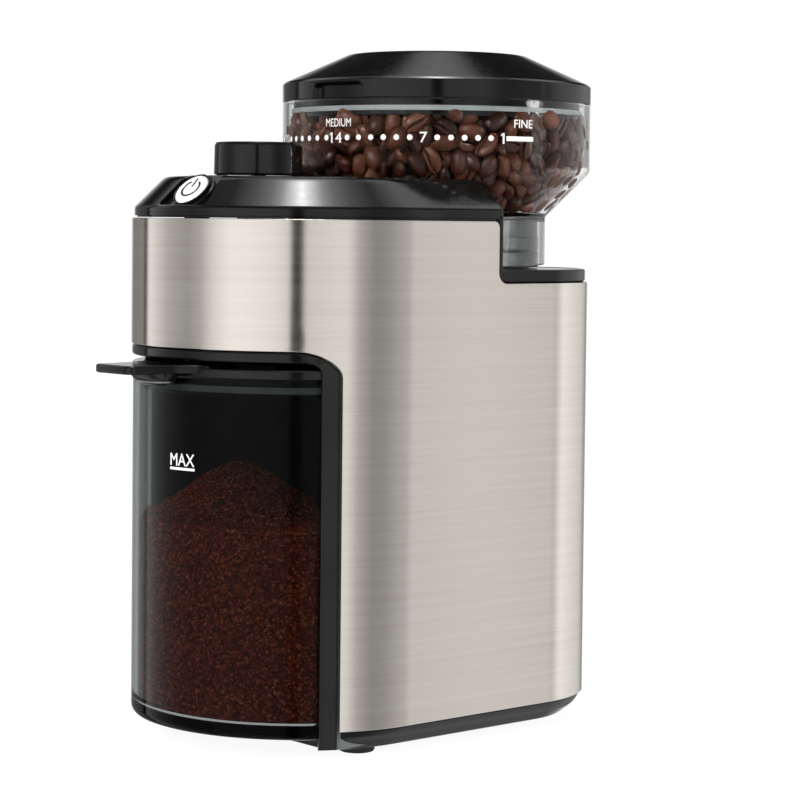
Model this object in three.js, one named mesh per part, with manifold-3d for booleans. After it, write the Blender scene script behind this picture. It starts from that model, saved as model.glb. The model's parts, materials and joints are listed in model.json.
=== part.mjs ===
// Burr coffee grinder: D-shaped steel body, bean hopper over the rear, grounds container in the front bay.
// Millimetres, +Z up, front of the machine towards -Y, origin under the middle of the whole outline.
import * as THREE from "three";
import { mergeVertices } from "three/addons/utils/BufferGeometryUtils.js";
import Module from "manifold-3d";

const wasm = await Module();
wasm.setup();

// ---------------------------------------------------------------- driving dimensions
const GAP = 0.3; // left between pieces that rest on each other
const BODY_WIDTH = 138.2;
const BODY_DEPTH = 193;
const REAR_CORNER = 46;
const STEEL = 1.0; // thickness of the steel sheet
const HANDLE_REACH = 25; // container handle ahead of the body's front
const HOPPER_BACK = 142.8; // hopper axis behind the body's front
const LID_RADIUS = 65.9;

const FOOT_HEIGHT = 2.5;
const BASE_BOTTOM = 2.8;
const BAY_FLOOR = 7.8;
const STEEL_BOTTOM = 11.4;
const BAY_TOP = 158.5;
const NOTCH_FLOOR = 184.2; // top edge of the steel under the hopper
const LEDGE_TOP = 189.7;
const STEEL_TOP = 209.3;
const LIP_TOP = 213.7;
const DECK_TOP = 226;
const NECK_BOTTOM = 190.9;
const CONE_BOTTOM = 211.3;
const CONE_TOP = 230.4;
const RIM_BOTTOM = 259;
const RIM_TOP = 267.4;
const TOTAL_HEIGHT = 279.5;

const HALF_WIDTH = BODY_WIDTH / 2;
const TOTAL_DEPTH = HANDLE_REACH + HOPPER_BACK + LID_RADIUS;
const FRONT_Y = HANDLE_REACH - TOTAL_DEPTH / 2;
const ARC_Y = FRONT_Y + HALF_WIDTH; // centre of the round front
const REAR_Y = FRONT_Y + BODY_DEPTH;
const HOPPER_Y = FRONT_Y + HOPPER_BACK;
const NOTCH_Y = FRONT_Y + 115.5; // upright edge of the steel beside the hopper neck
const DECK_BACK_Y = NOTCH_Y + 3.3;

const BAY_HALF = 62.5; // half width of the opening cut in the steel
const FRAME_OUT = BAY_HALF - GAP;
const FRAME_IN = 58.6;
const BAY_CORNER = 10;
const BAY_CEILING = 154;
const BAY_BACK = FRONT_Y + 89;
const LINER_BACK = BAY_BACK + 2.9;
const LINER_TOP = BAY_TOP - GAP;
const FRAME_INSET = 0.3;

const BASE_FRONT = FRONT_Y + 41.5; // the base pan starts here, behind the round front
const POST_BOTTOM = 4.4; // lower end of the bay frame's posts and of the shelf between them

const POT_HALF = 57.8; // grounds container
const POT_INSET = 0.7;
const POT_BACK = FRONT_Y + 86;
const POT_BOTTOM = 8.1;
const POT_TOP = 147.4;
const POT_WALL = 2.5;
const POT_FLOOR = 5;
const POT_LID_TOP = 151.3;
const POT_SKIRT = 140.6; // lower edge of the lid's skirt inside the container

const MODULE = 1; // gear module
const PINION_TEETH = 12;
const WHEEL_TEETH = 36;
const DRIVE_TEETH = 40;
const WHEEL_X = (MODULE * (PINION_TEETH + DRIVE_TEETH)) / 2;
const MOTOR_X = WHEEL_X - (MODULE * (PINION_TEETH + WHEEL_TEETH)) / 2;
const MOTOR_BOTTOM = 70;
const MOTOR_TOP = 131.7;
const MOTOR_RADIUS = 21;
const GEARBOX_BOTTOM = 132;
const GEARBOX_TOP = 153;
const CHAMBER_BOTTOM = 158.8;
const CHAMBER_FLOOR = 161.2;
const CHAMBER_RADIUS = 44;
const CHAMBER_BORE = 41.5;
const ADJUSTER_SLEEVE = 40.1;
const LEDGE_BOTTOM = NOTCH_FLOOR + GAP;
const SHAFT_RADIUS = 4;
const SHAFT_BOTTOM = 143.6;
const SHAFT_TOP = 187;

const CHUTE_HALF = 13; // duct from the grinding chamber to the container
const CHUTE_FRONT = FRONT_Y + 46;
const CHUTE_TOP = 172;
const SPOUT_BACK = FRONT_Y + 62;
const INTERLOCK_X = 30; // switch that senses the container
const INTERLOCK_Z = 120;
const BOARD_Z = 190; // control board

const BUTTON_RADIUS = 7.5;
const BUTTON_TILT = Math.PI / 4;
const BUTTON_TURN = THREE.MathUtils.degToRad(5.7); // round the front, to the right of its middle
const BUTTON_OUT = HALF_WIDTH - 10.25; // middle of the pocket's floor, from the round front's axis
const BUTTON_X = BUTTON_OUT * Math.sin(BUTTON_TURN);
const BUTTON_Y = ARC_Y - BUTTON_OUT * Math.cos(BUTTON_TURN);
const BUTTON_Z = 218.74;
const KNOB_Y = FRONT_Y + 46.4;
const KNOB_RADIUS = 17.9;
const KNOB_TOP = 240;
const KNOB_SHAFT_RADIUS = 3;
const KNOB_SHAFT_TOP = 236.2;
const LID_FLAT = 38; // radius of the hopper lid's flat top
const RECESS_ANGLE = THREE.MathUtils.degToRad(-90 + 9.5); // finger recess in the hopper lid's rim

const FOOT_RADIUS = 7.5;
const FOOT_PLACES = {
  front_left: [-50, FRONT_Y + 59],
  front_right: [50, FRONT_Y + 59],
  rear_left: [-38, FRONT_Y + 165],
  rear_right: [38, FRONT_Y + 165],
};
const LEG_PLACES = [
  [-48, FRONT_Y + 104],
  [48, FRONT_Y + 104],
  [-27, FRONT_Y + 173],
  [27, FRONT_Y + 173],
];
const BASE_SCREW_RADIUS = 1.5;
const REAR_COVER_HALF = 36;
const REAR_SCREWS = [
  [-24, 30],
  [24, 30],
];
const GLAND_Z = 26;
const BOARD_CORNERS = [
  [-34, FRONT_Y + 22],
  [34, FRONT_Y + 22],
  [-34, FRONT_Y + 62],
  [34, FRONT_Y + 62],
];
const GEARBOX_SCREWS = [
  [-27, HOPPER_Y],
  [13, HOPPER_Y + 27],
  [13, HOPPER_Y - 27],
];
const MOTOR_SCREWS = [
  [MOTOR_X, HOPPER_Y - 12],
  [MOTOR_X, HOPPER_Y + 12],
];

// ---------------------------------------------------------------- materials
const finish = (color, roughness, metalness = 0, opacity = 1) =>
  new THREE.MeshStandardMaterial({
    color,
    roughness,
    metalness,
    opacity,
    transparent: opacity < 1,
  });
const blackGloss = () => finish(0x0c0c0e, 0.12);
const blackPlastic = () => finish(0x17171a, 0.45);
const greyPlastic = () => finish(0x8f9794, 0.5);
const whitePlastic = () => finish(0xd9d6cc, 0.4);
const naturalNylon = () => finish(0xe4dfcf, 0.5);
const brushedSteel = () => finish(0xc8c3bc, 0.32, 1);
const darkSteel = () => finish(0x8a8d90, 0.3, 1);
const zincSteel = () => finish(0xb4b8bb, 0.35, 1);
const brass = () => finish(0xb8935a, 0.35, 1);
const copper = () => finish(0xa85c34, 0.4, 1);
const rubber = () => finish(0x101010, 0.85);
const silicone = () => finish(0xd8dcd8, 0.6);
const clearPlastic = () => finish(0xdfe4e2, 0.05, 0, 0.3);
const smokedPlastic = () => finish(0x4b5250, 0.05, 0, 0.45);
const boardGreen = () => finish(0x1f5a35, 0.5);

// ---------------------------------------------------------------- solids
function toSolid(geometry) {
  const bare = geometry.clone();
  bare.deleteAttribute("normal");
  bare.deleteAttribute("uv");
  const merged = mergeVertices(bare, 1e-4);
  return new wasm.Manifold(
    new wasm.Mesh({
      numProp: 3,
      vertProperties: new Float32Array(merged.attributes.position.array),
      triVerts: new Uint32Array(merged.index.array),
    }),
  );
}

function toGeometry(solid) {
  const mesh = solid.getMesh();
  const geometry = new THREE.BufferGeometry();
  geometry.setAttribute("position", new THREE.BufferAttribute(mesh.vertProperties, 3));
  geometry.setIndex(new THREE.BufferAttribute(mesh.triVerts, 1));
  geometry.computeVertexNormals();
  return geometry;
}

function box(x0, x1, y0, y1, z0, z1) {
  const geometry = new THREE.BoxGeometry(x1 - x0, y1 - y0, z1 - z0);
  geometry.translate((x0 + x1) / 2, (y0 + y1) / 2, (z0 + z1) / 2);
  return toSolid(geometry);
}

// An upright cylinder, or a cone frustum where a top radius is given.
function rod(x, y, radius, z0, z1, segments = 20, topRadius = radius) {
  const geometry = new THREE.CylinderGeometry(topRadius, radius, z1 - z0, segments);
  geometry.rotateX(Math.PI / 2);
  geometry.translate(x, y, (z0 + z1) / 2);
  return toSolid(geometry);
}

// A cylinder that lies along Y.
function rodAlongY(x, z, radius, y0, y1, segments = 24) {
  const geometry = new THREE.CylinderGeometry(radius, radius, y1 - y0, segments);
  geometry.translate(x, (y0 + y1) / 2, z);
  return toSolid(geometry);
}

// A body turned about an upright axis, from its half section [radius, height] given anticlockwise.
function turned(profile, x = 0, y = 0, segments = 48) {
  const points = profile.map(([radius, height]) => new THREE.Vector2(radius, height));
  if (profile[0][0] > 0) points.push(points[0].clone());
  const geometry = new THREE.LatheGeometry(points, segments);
  geometry.rotateX(Math.PI / 2);
  geometry.translate(x, y, 0);
  return toSolid(geometry);
}

function tube(x, y, inner, outer, z0, z1, segments = 28) {
  const section = [
    [inner, z0],
    [outer, z0],
    [outer, z1],
    [inner, z1],
  ];
  return turned(section, x, y, segments);
}

function prism(shape, z0, z1, curveSegments = 12) {
  const geometry = new THREE.ExtrudeGeometry(shape, { depth: z1 - z0, bevelEnabled: false, curveSegments });
  geometry.translate(0, 0, z0);
  return toSolid(geometry);
}

// A shape drawn in X and Z, pushed along Y.
function prismAlongY(shape, y0, y1, curveSegments = 8) {
  const geometry = new THREE.ExtrudeGeometry(shape, { depth: y1 - y0, bevelEnabled: false, curveSegments });
  geometry.rotateX(Math.PI / 2);
  geometry.translate(0, y1, 0);
  return toSolid(geometry);
}

// A skin over rings of equal point counts; each ring is {z, points}, lowest first.
function loft(rings) {
  const count = rings[0].points.length;
  const positions = rings.flatMap(({ z, points }) => points.flatMap(([x, y]) => [x, y, z]));
  const cap = THREE.ShapeUtils.triangulateShape(
    rings[0].points.map(([x, y]) => new THREE.Vector2(x, y)),
    [],
  );
  const top = (rings.length - 1) * count;
  const index = cap.flatMap(([a, b, c]) => [a, c, b]);
  index.push(...cap.flatMap(([a, b, c]) => [a + top, b + top, c + top]));
  for (let level = 0; level + 1 < rings.length; level++) {
    for (let i = 0; i < count; i++) {
      const a = level * count + i;
      const b = level * count + ((i + 1) % count);
      index.push(a, b, b + count, a, b + count, a + count);
    }
  }
  const geometry = new THREE.BufferGeometry();
  geometry.setAttribute("position", new THREE.Float32BufferAttribute(positions, 3));
  geometry.setIndex(index);
  return toSolid(geometry);
}

const join = (solids) => solids.reduce((sum, solid) => sum.add(solid));
const cut = (solid, ...cutters) => cutters.reduce((rest, cutter) => rest.subtract(cutter), solid);
const behind = (y) => box(-200, 200, y, 300, -50, 400);
const ahead = (y) => box(-200, 200, -300, y, -50, 400);
const above = (z) => box(-200, 200, -300, 300, z, 400);

// ---------------------------------------------------------------- outlines
function arc(cx, cy, radius, from, to, steps) {
  const points = [];
  for (let i = 0; i <= steps; i++) {
    const angle = THREE.MathUtils.degToRad(from + ((to - from) * i) / steps);
    points.push([cx + radius * Math.cos(angle), cy + radius * Math.sin(angle)]);
  }
  return points;
}

// The body's D outline, moved inwards by an inset.
function bodyPoints(inset) {
  const rear = REAR_CORNER - inset;
  const cornerX = HALF_WIDTH - REAR_CORNER;
  const cornerY = REAR_Y - REAR_CORNER;
  return [
    ...arc(0, ARC_Y, HALF_WIDTH - inset, 180, 360, 24),
    ...arc(cornerX, cornerY, rear, 0, 90, 6),
    ...arc(-cornerX, cornerY, rear, 90, 180, 6),
  ];
}
const bodyRing = (inset, z) => ({ z, points: bodyPoints(inset) });
const bodyBlock = (inset, z0, z1) => loft([bodyRing(inset, z0), bodyRing(inset, z1)]);

// The container's outline: a round front between flat sides, with round rear corners.
function potPoints(inset) {
  const half = POT_HALF - inset;
  const radius = HALF_WIDTH - POT_INSET - inset;
  const reach = THREE.MathUtils.radToDeg(Math.asin(half / radius));
  const back = POT_BACK - inset;
  const corner = 12 - inset;
  return [
    ...arc(0, ARC_Y, radius, 270 - reach, 270 + reach, 16),
    ...arc(half - corner, back - corner, corner, 0, 90, 4),
    ...arc(corner - half, back - corner, corner, 90, 180, 4),
  ];
}
const potBlock = (inset, z0, z1) =>
  loft([
    { z: z0, points: potPoints(inset) },
    { z: z1, points: potPoints(inset) },
  ]);

// A doorway in X and Z: straight sides, round upper corners.
function doorway(half, bottom, top, corner) {
  const shape = new THREE.Shape();
  shape.moveTo(-half, bottom);
  shape.lineTo(-half, top - corner);
  shape.absarc(corner - half, top - corner, corner, Math.PI, 0.5 * Math.PI, true);
  shape.absarc(half - corner, top - corner, corner, 0.5 * Math.PI, 0, true);
  shape.lineTo(half, bottom);
  return shape;
}
const doorwayBlock = (half, bottom, top, corner, y0, y1) =>
  prismAlongY(doorway(half, bottom, top, corner), y0, y1);

// ---------------------------------------------------------------- casing
function foot(x, y) {
  return rod(x, y, FOOT_RADIUS - 0.8, 0, FOOT_HEIGHT, 28, FOOT_RADIUS);
}

function basePan() {
  const wall = 3;
  const lowInset = 8.4; // the pan's side leans in to the table and straightens at the knee
  const kneeInset = 1.6;
  const kneeZ = 9;
  const shelfRadius = 50;
  const outside = loft([
    bodyRing(lowInset, BASE_BOTTOM),
    bodyRing(kneeInset, kneeZ),
    bodyRing(1, STEEL_BOTTOM - GAP),
  ]);
  const hollow = loft([bodyRing(lowInset + wall, BASE_BOTTOM + 2.5), bodyRing(kneeInset + wall, STEEL_BOTTOM)]);
  const machineRoom = hollow.intersect(behind(LINER_BACK + GAP));
  const baySlot = box(-BAY_HALF, BAY_HALF, FRONT_Y - 5, LINER_BACK + GAP, BAY_FLOOR, 40);
  const rear = cut(outside, ahead(BASE_FRONT), machineRoom, baySlot);
  const shelf = rod(0, ARC_Y, shelfRadius, POST_BOTTOM, BAY_FLOOR, 48).intersect(ahead(BASE_FRONT + 3.5));
  const holes = LEG_PLACES.map(([x, y]) => rod(x, y, BASE_SCREW_RADIUS + GAP, 0, 20, 16));
  return cut(rear.add(shelf), ...holes);
}

// The steel sheet goes round the front and both sides and stops at the rear cover.
function steelWrap() {
  const sheet = bodyBlock(0, STEEL_BOTTOM, STEEL_TOP).subtract(
    bodyBlock(STEEL, STEEL_BOTTOM - 1, STEEL_TOP + 1),
  );
  const bay = doorwayBlock(BAY_HALF, 0, BAY_TOP, BAY_CORNER, FRONT_Y - 5, ARC_Y);
  const rearGap = box(-REAR_COVER_HALF, REAR_COVER_HALF, HOPPER_Y, REAR_Y + 5, 0, 300);
  return cut(sheet, bay, notchCutter(), rearGap);
}

// The step beside the hopper neck, with a round inner corner and a round upper corner.
function notchCutter() {
  const inner = 4.5;
  const outer = 2.7;
  const shape = new THREE.Shape();
  shape.moveTo(300, NOTCH_FLOOR);
  shape.lineTo(NOTCH_Y + inner, NOTCH_FLOOR);
  shape.absarc(NOTCH_Y + inner, NOTCH_FLOOR + inner, inner, 1.5 * Math.PI, Math.PI, true);
  shape.lineTo(NOTCH_Y, STEEL_TOP - outer);
  shape.absarc(NOTCH_Y - outer, STEEL_TOP - outer, outer, 0, 0.5 * Math.PI, false);
  shape.lineTo(NOTCH_Y - outer, STEEL_TOP + 5);
  shape.lineTo(300, STEEL_TOP + 5);
  const geometry = new THREE.ExtrudeGeometry(shape, { depth: 200, bevelEnabled: false, curveSegments: 6 });
  geometry.rotateX(Math.PI / 2);
  geometry.rotateZ(Math.PI / 2);
  geometry.translate(-100, 0, 0);
  return toSolid(geometry);
}

function rearCover() {
  const skin = bodyBlock(0.2, STEEL_BOTTOM, NOTCH_FLOOR).subtract(bodyBlock(2.6, 0, 300));
  const panel = skin.intersect(box(GAP - REAR_COVER_HALF, REAR_COVER_HALF - GAP, HOPPER_Y, REAR_Y + 5, 0, 300));
  const inner = bodyBlock(STEEL + GAP, STEEL_BOTTOM, NOTCH_FLOOR).subtract(bodyBlock(2.6, 0, 300));
  const flange = inner.intersect(box(-REAR_COVER_HALF - 4, REAR_COVER_HALF + 4, HOPPER_Y, REAR_Y + 5, 0, 300));
  const slots = [];
  for (let i = 0; i < 8; i++) {
    const z = 60 + 7 * i;
    slots.push(box(-20, 20, REAR_Y - 10, REAR_Y + 5, z, z + 2.6));
  }
  const glandHole = rodAlongY(0, GLAND_Z, 6 + GAP, REAR_Y - 10, REAR_Y + 5);
  const screwHoles = REAR_SCREWS.map(([x, z]) => rodAlongY(x, z, 1.8, REAR_Y - 10, REAR_Y + 5, 16));
  return cut(panel.add(flange), ...slots, glandHole, ...screwHoles);
}

// One black moulding: raised deck with a bevelled edge, skirt inside the steel, and the ledge under the hopper.
function topDeck() {
  const skirtInset = STEEL + GAP + 0.2;
  const edgeInset = 1.0;
  const wall = 2.5;
  const bevel = DECK_TOP - LIP_TOP;
  const lip = STEEL_TOP + GAP;
  const cap = loft([bodyRing(edgeInset, lip), bodyRing(edgeInset, LIP_TOP), bodyRing(edgeInset + bevel, DECK_TOP)]);
  const skirt = bodyBlock(skirtInset, LEDGE_BOTTOM, lip + 0.5);
  const front = join([cap, skirt]).intersect(ahead(DECK_BACK_Y));
  const upright = bodyBlock(edgeInset, LEDGE_BOTTOM, LIP_TOP).intersect(
    box(-100, 100, NOTCH_Y + GAP, DECK_BACK_Y, 0, 300),
  );
  const ledge = bodyBlock(edgeInset, LEDGE_BOTTOM, LEDGE_TOP).intersect(behind(NOTCH_Y + 1));
  const outside = cut(join([front, upright, ledge]), hopperRoom(0));
  const room = loft([
    bodyRing(skirtInset + wall, LEDGE_BOTTOM - 5),
    bodyRing(skirtInset + wall, LIP_TOP - 1),
    bodyRing(skirtInset + wall + bevel - 1.5, DECK_TOP - wall),
  ]);
  const hollow = cut(room.intersect(ahead(DECK_BACK_Y - wall)), hopperRoom(wall));
  return cut(
    outside.add(pocketFloor()).intersect(casingHull()),
    hollow.subtract(pocketBacking()),
    rod(0, HOPPER_Y, ADJUSTER_SLEEVE + 0.9, 150, 300, 36),
    buttonPocket(),
    rod(0, KNOB_Y, KNOB_SHAFT_RADIUS + 0.8, 200, 300),
  );
}
const casingHull = () => bodyBlock(0.9, LEDGE_BOTTOM - 1, DECK_TOP + 1);

// The space round the hopper's neck and cone; a wall thickness makes it larger.
function hopperRoom(wall) {
  const radius = 49.5 + wall;
  const coneStart = 213 - wall * 0.4;
  const section = [
    [0, LEDGE_TOP - (wall > 0 ? 20 : 0)],
    [radius, LEDGE_TOP - (wall > 0 ? 20 : 0)],
    [radius, coneStart],
    [radius + 20, coneStart + 20],
    [0, coneStart + 20],
  ];
  return turned(section, 0, HOPPER_Y, 36);
}

// ---------------------------------------------------------------- start button in its pocket
const COLLAR_BORE = BUTTON_RADIUS + GAP;
const COLLAR_BARREL = 8.6;
const COLLAR_FLANGE = 9.3;
const POCKET_BOTTOM = -9.1; // up the slope from the button's axis
const POCKET_WALL = 1.5;

// From a frame with its origin on the pocket's floor, face up, to the sloping front of the deck.
const slopeMatrix = () =>
  new THREE.Matrix4()
    .makeRotationFromEuler(new THREE.Euler(BUTTON_TILT, 0, BUTTON_TURN, "ZXY"))
    .setPosition(BUTTON_X, BUTTON_Y, BUTTON_Z);
const onSlope = (solid) => toSolid(toGeometry(solid).applyMatrix4(slopeMatrix()));

// The pocket is wider at its lower edge and runs out through the deck's flat top.
function buttonPocket() {
  const lowHalf = 14.2;
  const highHalf = 9.1;
  const high = 12;
  const shape = new THREE.Shape();
  shape.moveTo(-lowHalf, POCKET_BOTTOM);
  shape.lineTo(lowHalf, POCKET_BOTTOM);
  shape.lineTo(highHalf, high);
  shape.lineTo(-highHalf, high);
  const well = rod(0, 0, COLLAR_BARREL + GAP, -12, 6, 32);
  const flangeRoom = rod(0, 0, COLLAR_FLANGE + GAP, 0, high, 32);
  return onSlope(join([prism(shape, 0, high), well, flangeRoom]));
}
const pocketFloor = () => onSlope(box(-14, 14, POCKET_BOTTOM, 8, -2.5, 0));
const pocketBacking = () => onSlope(box(-15.6, 15.6, POCKET_BOTTOM - POCKET_WALL, 12, -2.5, 6));

// The fixed black collar round the button.
function buttonRing() {
  const section = [
    [COLLAR_BORE, -3],
    [COLLAR_BARREL, -3],
    [COLLAR_BARREL, GAP],
    [COLLAR_FLANGE, GAP],
    [COLLAR_FLANGE, 0.9],
    [COLLAR_BORE + 0.5, 0.9],
    [COLLAR_BORE + 0.5, 2.9],
    [COLLAR_BORE, 2.9],
  ];
  return turned(section, 0, 0, 24);
}

function buttonCap() {
  const section = [
    [0, -2.5],
    [BUTTON_RADIUS, -2.5],
    [BUTTON_RADIUS, 2.7],
    [BUTTON_RADIUS - 0.3, 3.1],
    [0, 3.2],
  ];
  return turned(section, 0, 0, 24);
}

function startSwitch() {
  const bodySolid = box(-4, 4, -4, 4, -9.5, -5.5);
  return bodySolid.add(rod(0, 0, 1.6, -6, -4.1, 16));
}

// ---------------------------------------------------------------- container bay
function bayLiner() {
  const outer = doorwayBlock(FRAME_OUT, 0, LINER_TOP, BAY_CORNER - GAP, FRONT_Y - 5, LINER_BACK);
  const block = bodyBlock(FRAME_INSET, POT_BOTTOM, LINER_TOP).intersect(outer);
  const posts = bodyBlock(FRAME_INSET, POST_BOTTOM, POT_BOTTOM + 1).intersect(
    box(-FRAME_OUT, FRAME_OUT, FRONT_Y - 5, BASE_FRONT - GAP, 0, 20),
  );
  const room = doorwayBlock(FRAME_IN, -5, BAY_CEILING, 4, FRONT_Y - 10, BAY_BACK);
  const bosses = BOARD_CORNERS.map(([x, y]) => rod(x, y, 3, LINER_TOP - 1, BOARD_Z - GAP, 16));
  return cut(
    join([cut(join([block, posts]), room), ...bosses]),
    box(-CHUTE_HALF - GAP, CHUTE_HALF + GAP, CHUTE_FRONT - GAP, SPOUT_BACK + GAP, 140, 180),
    rodAlongY(INTERLOCK_X, INTERLOCK_Z, 3, BAY_BACK - 2, LINER_BACK + 2),
  );
}

// A flat duct from the grinding chamber to a spout over the container's lid.
function chute() {
  const wall = 1.5;
  const back = HOPPER_Y - CHAMBER_RADIUS - GAP;
  const floor = LINER_TOP + GAP;
  const duct = box(-CHUTE_HALF - 2, CHUTE_HALF + 2, CHUTE_FRONT - 2, back, floor, CHUTE_TOP);
  const spout = box(-CHUTE_HALF, CHUTE_HALF, CHUTE_FRONT, SPOUT_BACK, POT_LID_TOP + 1.2, floor + 1);
  const inside = box(-CHUTE_HALF + GAP, CHUTE_HALF - GAP, CHUTE_FRONT, back + 5, floor + 2, CHUTE_TOP - wall);
  const drop = box(
    wall - CHUTE_HALF,
    CHUTE_HALF - wall,
    CHUTE_FRONT + wall,
    SPOUT_BACK - wall,
    POT_LID_TOP,
    floor + 4,
  );
  return cut(duct.add(spout), inside, drop);
}

function controlBoard() {
  const board = box(-35, 35, FRONT_Y + 17, FRONT_Y + 66, BOARD_Z, BOARD_Z + 1.6);
  const chips = [
    box(-30, -12, FRONT_Y + 24, FRONT_Y + 32, BOARD_Z + 1, BOARD_Z + 4.5),
    box(10, 28, FRONT_Y + 48, FRONT_Y + 62, BOARD_Z + 1, BOARD_Z + 13),
    rod(20, FRONT_Y + 32, 5, BOARD_Z + 1, BOARD_Z + 14, 20),
    rod(-24, FRONT_Y + 50, 4, BOARD_Z + 1, BOARD_Z + 12, 20),
  ];
  return join([board, ...chips]);
}

function timerPot() {
  const can = rod(0, KNOB_Y, 8.5, 208, DECK_TOP - 2.5 - GAP, 24);
  const legs = box(-5, 5, KNOB_Y + 6, KNOB_Y + 10.5, 208, 214);
  return cut(can.add(legs), rod(0, KNOB_Y, KNOB_SHAFT_RADIUS + GAP, 212, KNOB_TOP));
}

function interlockSwitch() {
  const y0 = LINER_BACK + GAP;
  const body = box(INTERLOCK_X - 9, INTERLOCK_X + 9, y0, y0 + 12, INTERLOCK_Z - 5, INTERLOCK_Z + 5);
  return cut(body, rodAlongY(INTERLOCK_X, INTERLOCK_Z, 3, y0 - 1, y0 + 6));
}

function interlockPlunger() {
  return rodAlongY(INTERLOCK_X, INTERLOCK_Z, 2.6, POT_BACK + 0.5, LINER_BACK + 3.5);
}

// ---------------------------------------------------------------- grounds container
function groundsContainer() {
  const shell = potBlock(0, POT_BOTTOM, POT_TOP);
  return cut(shell, potBlock(POT_WALL, POT_BOTTOM + POT_FLOOR, POT_TOP + 5));
}

function handleShape() {
  const shape = new THREE.Shape();
  const tip = FRONT_Y - HANDLE_REACH;
  shape.moveTo(-22, FRONT_Y + 6);
  shape.quadraticCurveTo(-14.5, FRONT_Y - 3, -13, FRONT_Y - 12);
  shape.lineTo(-12.5, tip + 4);
  shape.quadraticCurveTo(-12.2, tip, -8, tip);
  shape.lineTo(8, tip);
  shape.quadraticCurveTo(12.2, tip, 12.5, tip + 4);
  shape.lineTo(13, FRONT_Y - 12);
  shape.quadraticCurveTo(14.5, FRONT_Y - 3, 22, FRONT_Y + 6);
  return shape;
}

function containerLid() {
  const plate = potBlock(-0.2, POT_TOP + GAP, POT_LID_TOP);
  const skirt = cut(potBlock(POT_WALL + GAP + 0.8, POT_SKIRT, POT_TOP + 1), potBlock(POT_WALL + 3, 130, POT_TOP + 5));
  const handle = prism(handleShape(), 149, 152.4, 5);
  const gripGeometry = new THREE.SphereGeometry(1, 16, 10);
  gripGeometry.scale(13, 9, 4.6);
  gripGeometry.translate(0, FRONT_Y - 3.5, 149.4);
  const grip = cut(toSolid(gripGeometry), above(151), behind(FRONT_Y + 0.2));
  const inlet = box(-CHUTE_HALF, CHUTE_HALF, CHUTE_FRONT + 1, SPOUT_BACK - 1, 130, 160);
  return cut(join([plate, skirt, handle, grip]), inlet);
}

function containerSeal() {
  return cut(potBlock(POT_WALL + GAP, 142, 144.5), potBlock(POT_WALL + GAP + 0.6, 130, 150));
}

// ---------------------------------------------------------------- bean hopper
function hopper() {
  const wall = 2.4;
  const outer = LID_RADIUS - 0.2;
  const neck = 47;
  const section = [
    [neck - wall, NECK_BOTTOM],
    [neck, NECK_BOTTOM],
    [neck, CONE_BOTTOM],
    [outer, CONE_TOP],
    [outer, RIM_BOTTOM - GAP],
    [outer - wall, RIM_BOTTOM - GAP],
    [outer - wall, CONE_TOP + 1],
    [neck - wall + 1, CONE_BOTTOM + 2.4],
    [22, CONE_BOTTOM + 0.2],
    [22, 204],
    [24, 204],
    [24, CONE_BOTTOM - 2],
    [neck - wall, CONE_BOTTOM - 1],
  ];
  return turned(section, 0, HOPPER_Y, 36);
}

function hopperLid() {
  const wall = 2.2;
  const skirt = 61.2;
  const section = [
    [0, TOTAL_HEIGHT - wall],
    [LID_FLAT - 1, TOTAL_HEIGHT - wall],
    [skirt - wall, RIM_TOP - wall],
    [skirt - wall, 252],
    [skirt, 252],
    [skirt, RIM_BOTTOM],
    [LID_RADIUS, RIM_BOTTOM],
    [LID_RADIUS, RIM_TOP - 0.6],
    [LID_RADIUS - 0.6, RIM_TOP],
    [LID_FLAT, TOTAL_HEIGHT],
    [0, TOTAL_HEIGHT],
  ];
  const recess = new THREE.SphereGeometry(1, 16, 10);
  recess.scale(2.2, 13, 12);
  recess.rotateZ(RECESS_ANGLE);
  const reach = LID_RADIUS + 0.6;
  recess.translate(
    reach * Math.cos(RECESS_ANGLE),
    HOPPER_Y + reach * Math.sin(RECESS_ANGLE),
    RIM_BOTTOM - 4,
  );
  return turned(section, 0, HOPPER_Y, 36).subtract(toSolid(recess));
}

const hopperSeal = () => tube(0, HOPPER_Y, 61.5, 62, 254, 256, 36);

// ---------------------------------------------------------------- grind adjuster and burrs
function adjustRing() {
  const section = [
    [37.6, 182],
    [ADJUSTER_SLEEVE, 182],
    [ADJUSTER_SLEEVE, LEDGE_TOP + GAP],
    [44.2, LEDGE_TOP + GAP],
    [44.2, 203],
    [41.8, 203],
    [41.8, 193],
    [27, 189],
    [27, 187],
    [37.6, 188],
  ];
  return turned(section, 0, HOPPER_Y, 24);
}

function burrCarrier() {
  const section = [
    [27.4, 169.6],
    [40.9, 169.6],
    [40.9, 180.6],
    [38, 180.6],
    [27.4, 176],
  ];
  return turned(section, 0, HOPPER_Y, 24);
}

// A ring cut with slanting teeth: the radius swings between two values round each ring.
function toothedRing(x, y, z, root, tip, teeth, turn) {
  const points = [];
  for (let i = 0; i < teeth * 2; i++) {
    const angle = (Math.PI * i) / teeth + turn;
    const radius = i % 2 ? root : tip;
    points.push([x + radius * Math.cos(angle), y + radius * Math.sin(angle)]);
  }
  return { z, points };
}

function innerBurr() {
  const levels = 3;
  const rings = [];
  for (let i = 0; i <= levels; i++) {
    const t = i / levels;
    const tip = 17.2 - 6.6 * t;
    rings.push(toothedRing(0, HOPPER_Y, 168.6 + 14 * t, tip - 1.3, tip, 12, 0.16 * i));
  }
  return cut(loft(rings), rod(0, HOPPER_Y, SHAFT_RADIUS + GAP, 150, 200));
}

function outerBurr() {
  const levels = 2;
  const rings = [];
  for (let i = 0; i <= levels; i++) {
    const t = i / levels;
    const tip = 18.4 + 5 * t;
    rings.push(toothedRing(0, HOPPER_Y, 169.8 + 9 * t, tip, tip + 1.2, 14, -0.1 * i));
  }
  const blank = rod(0, HOPPER_Y, 27, 170, 178.5, 24);
  return blank.subtract(loft(rings));
}

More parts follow.
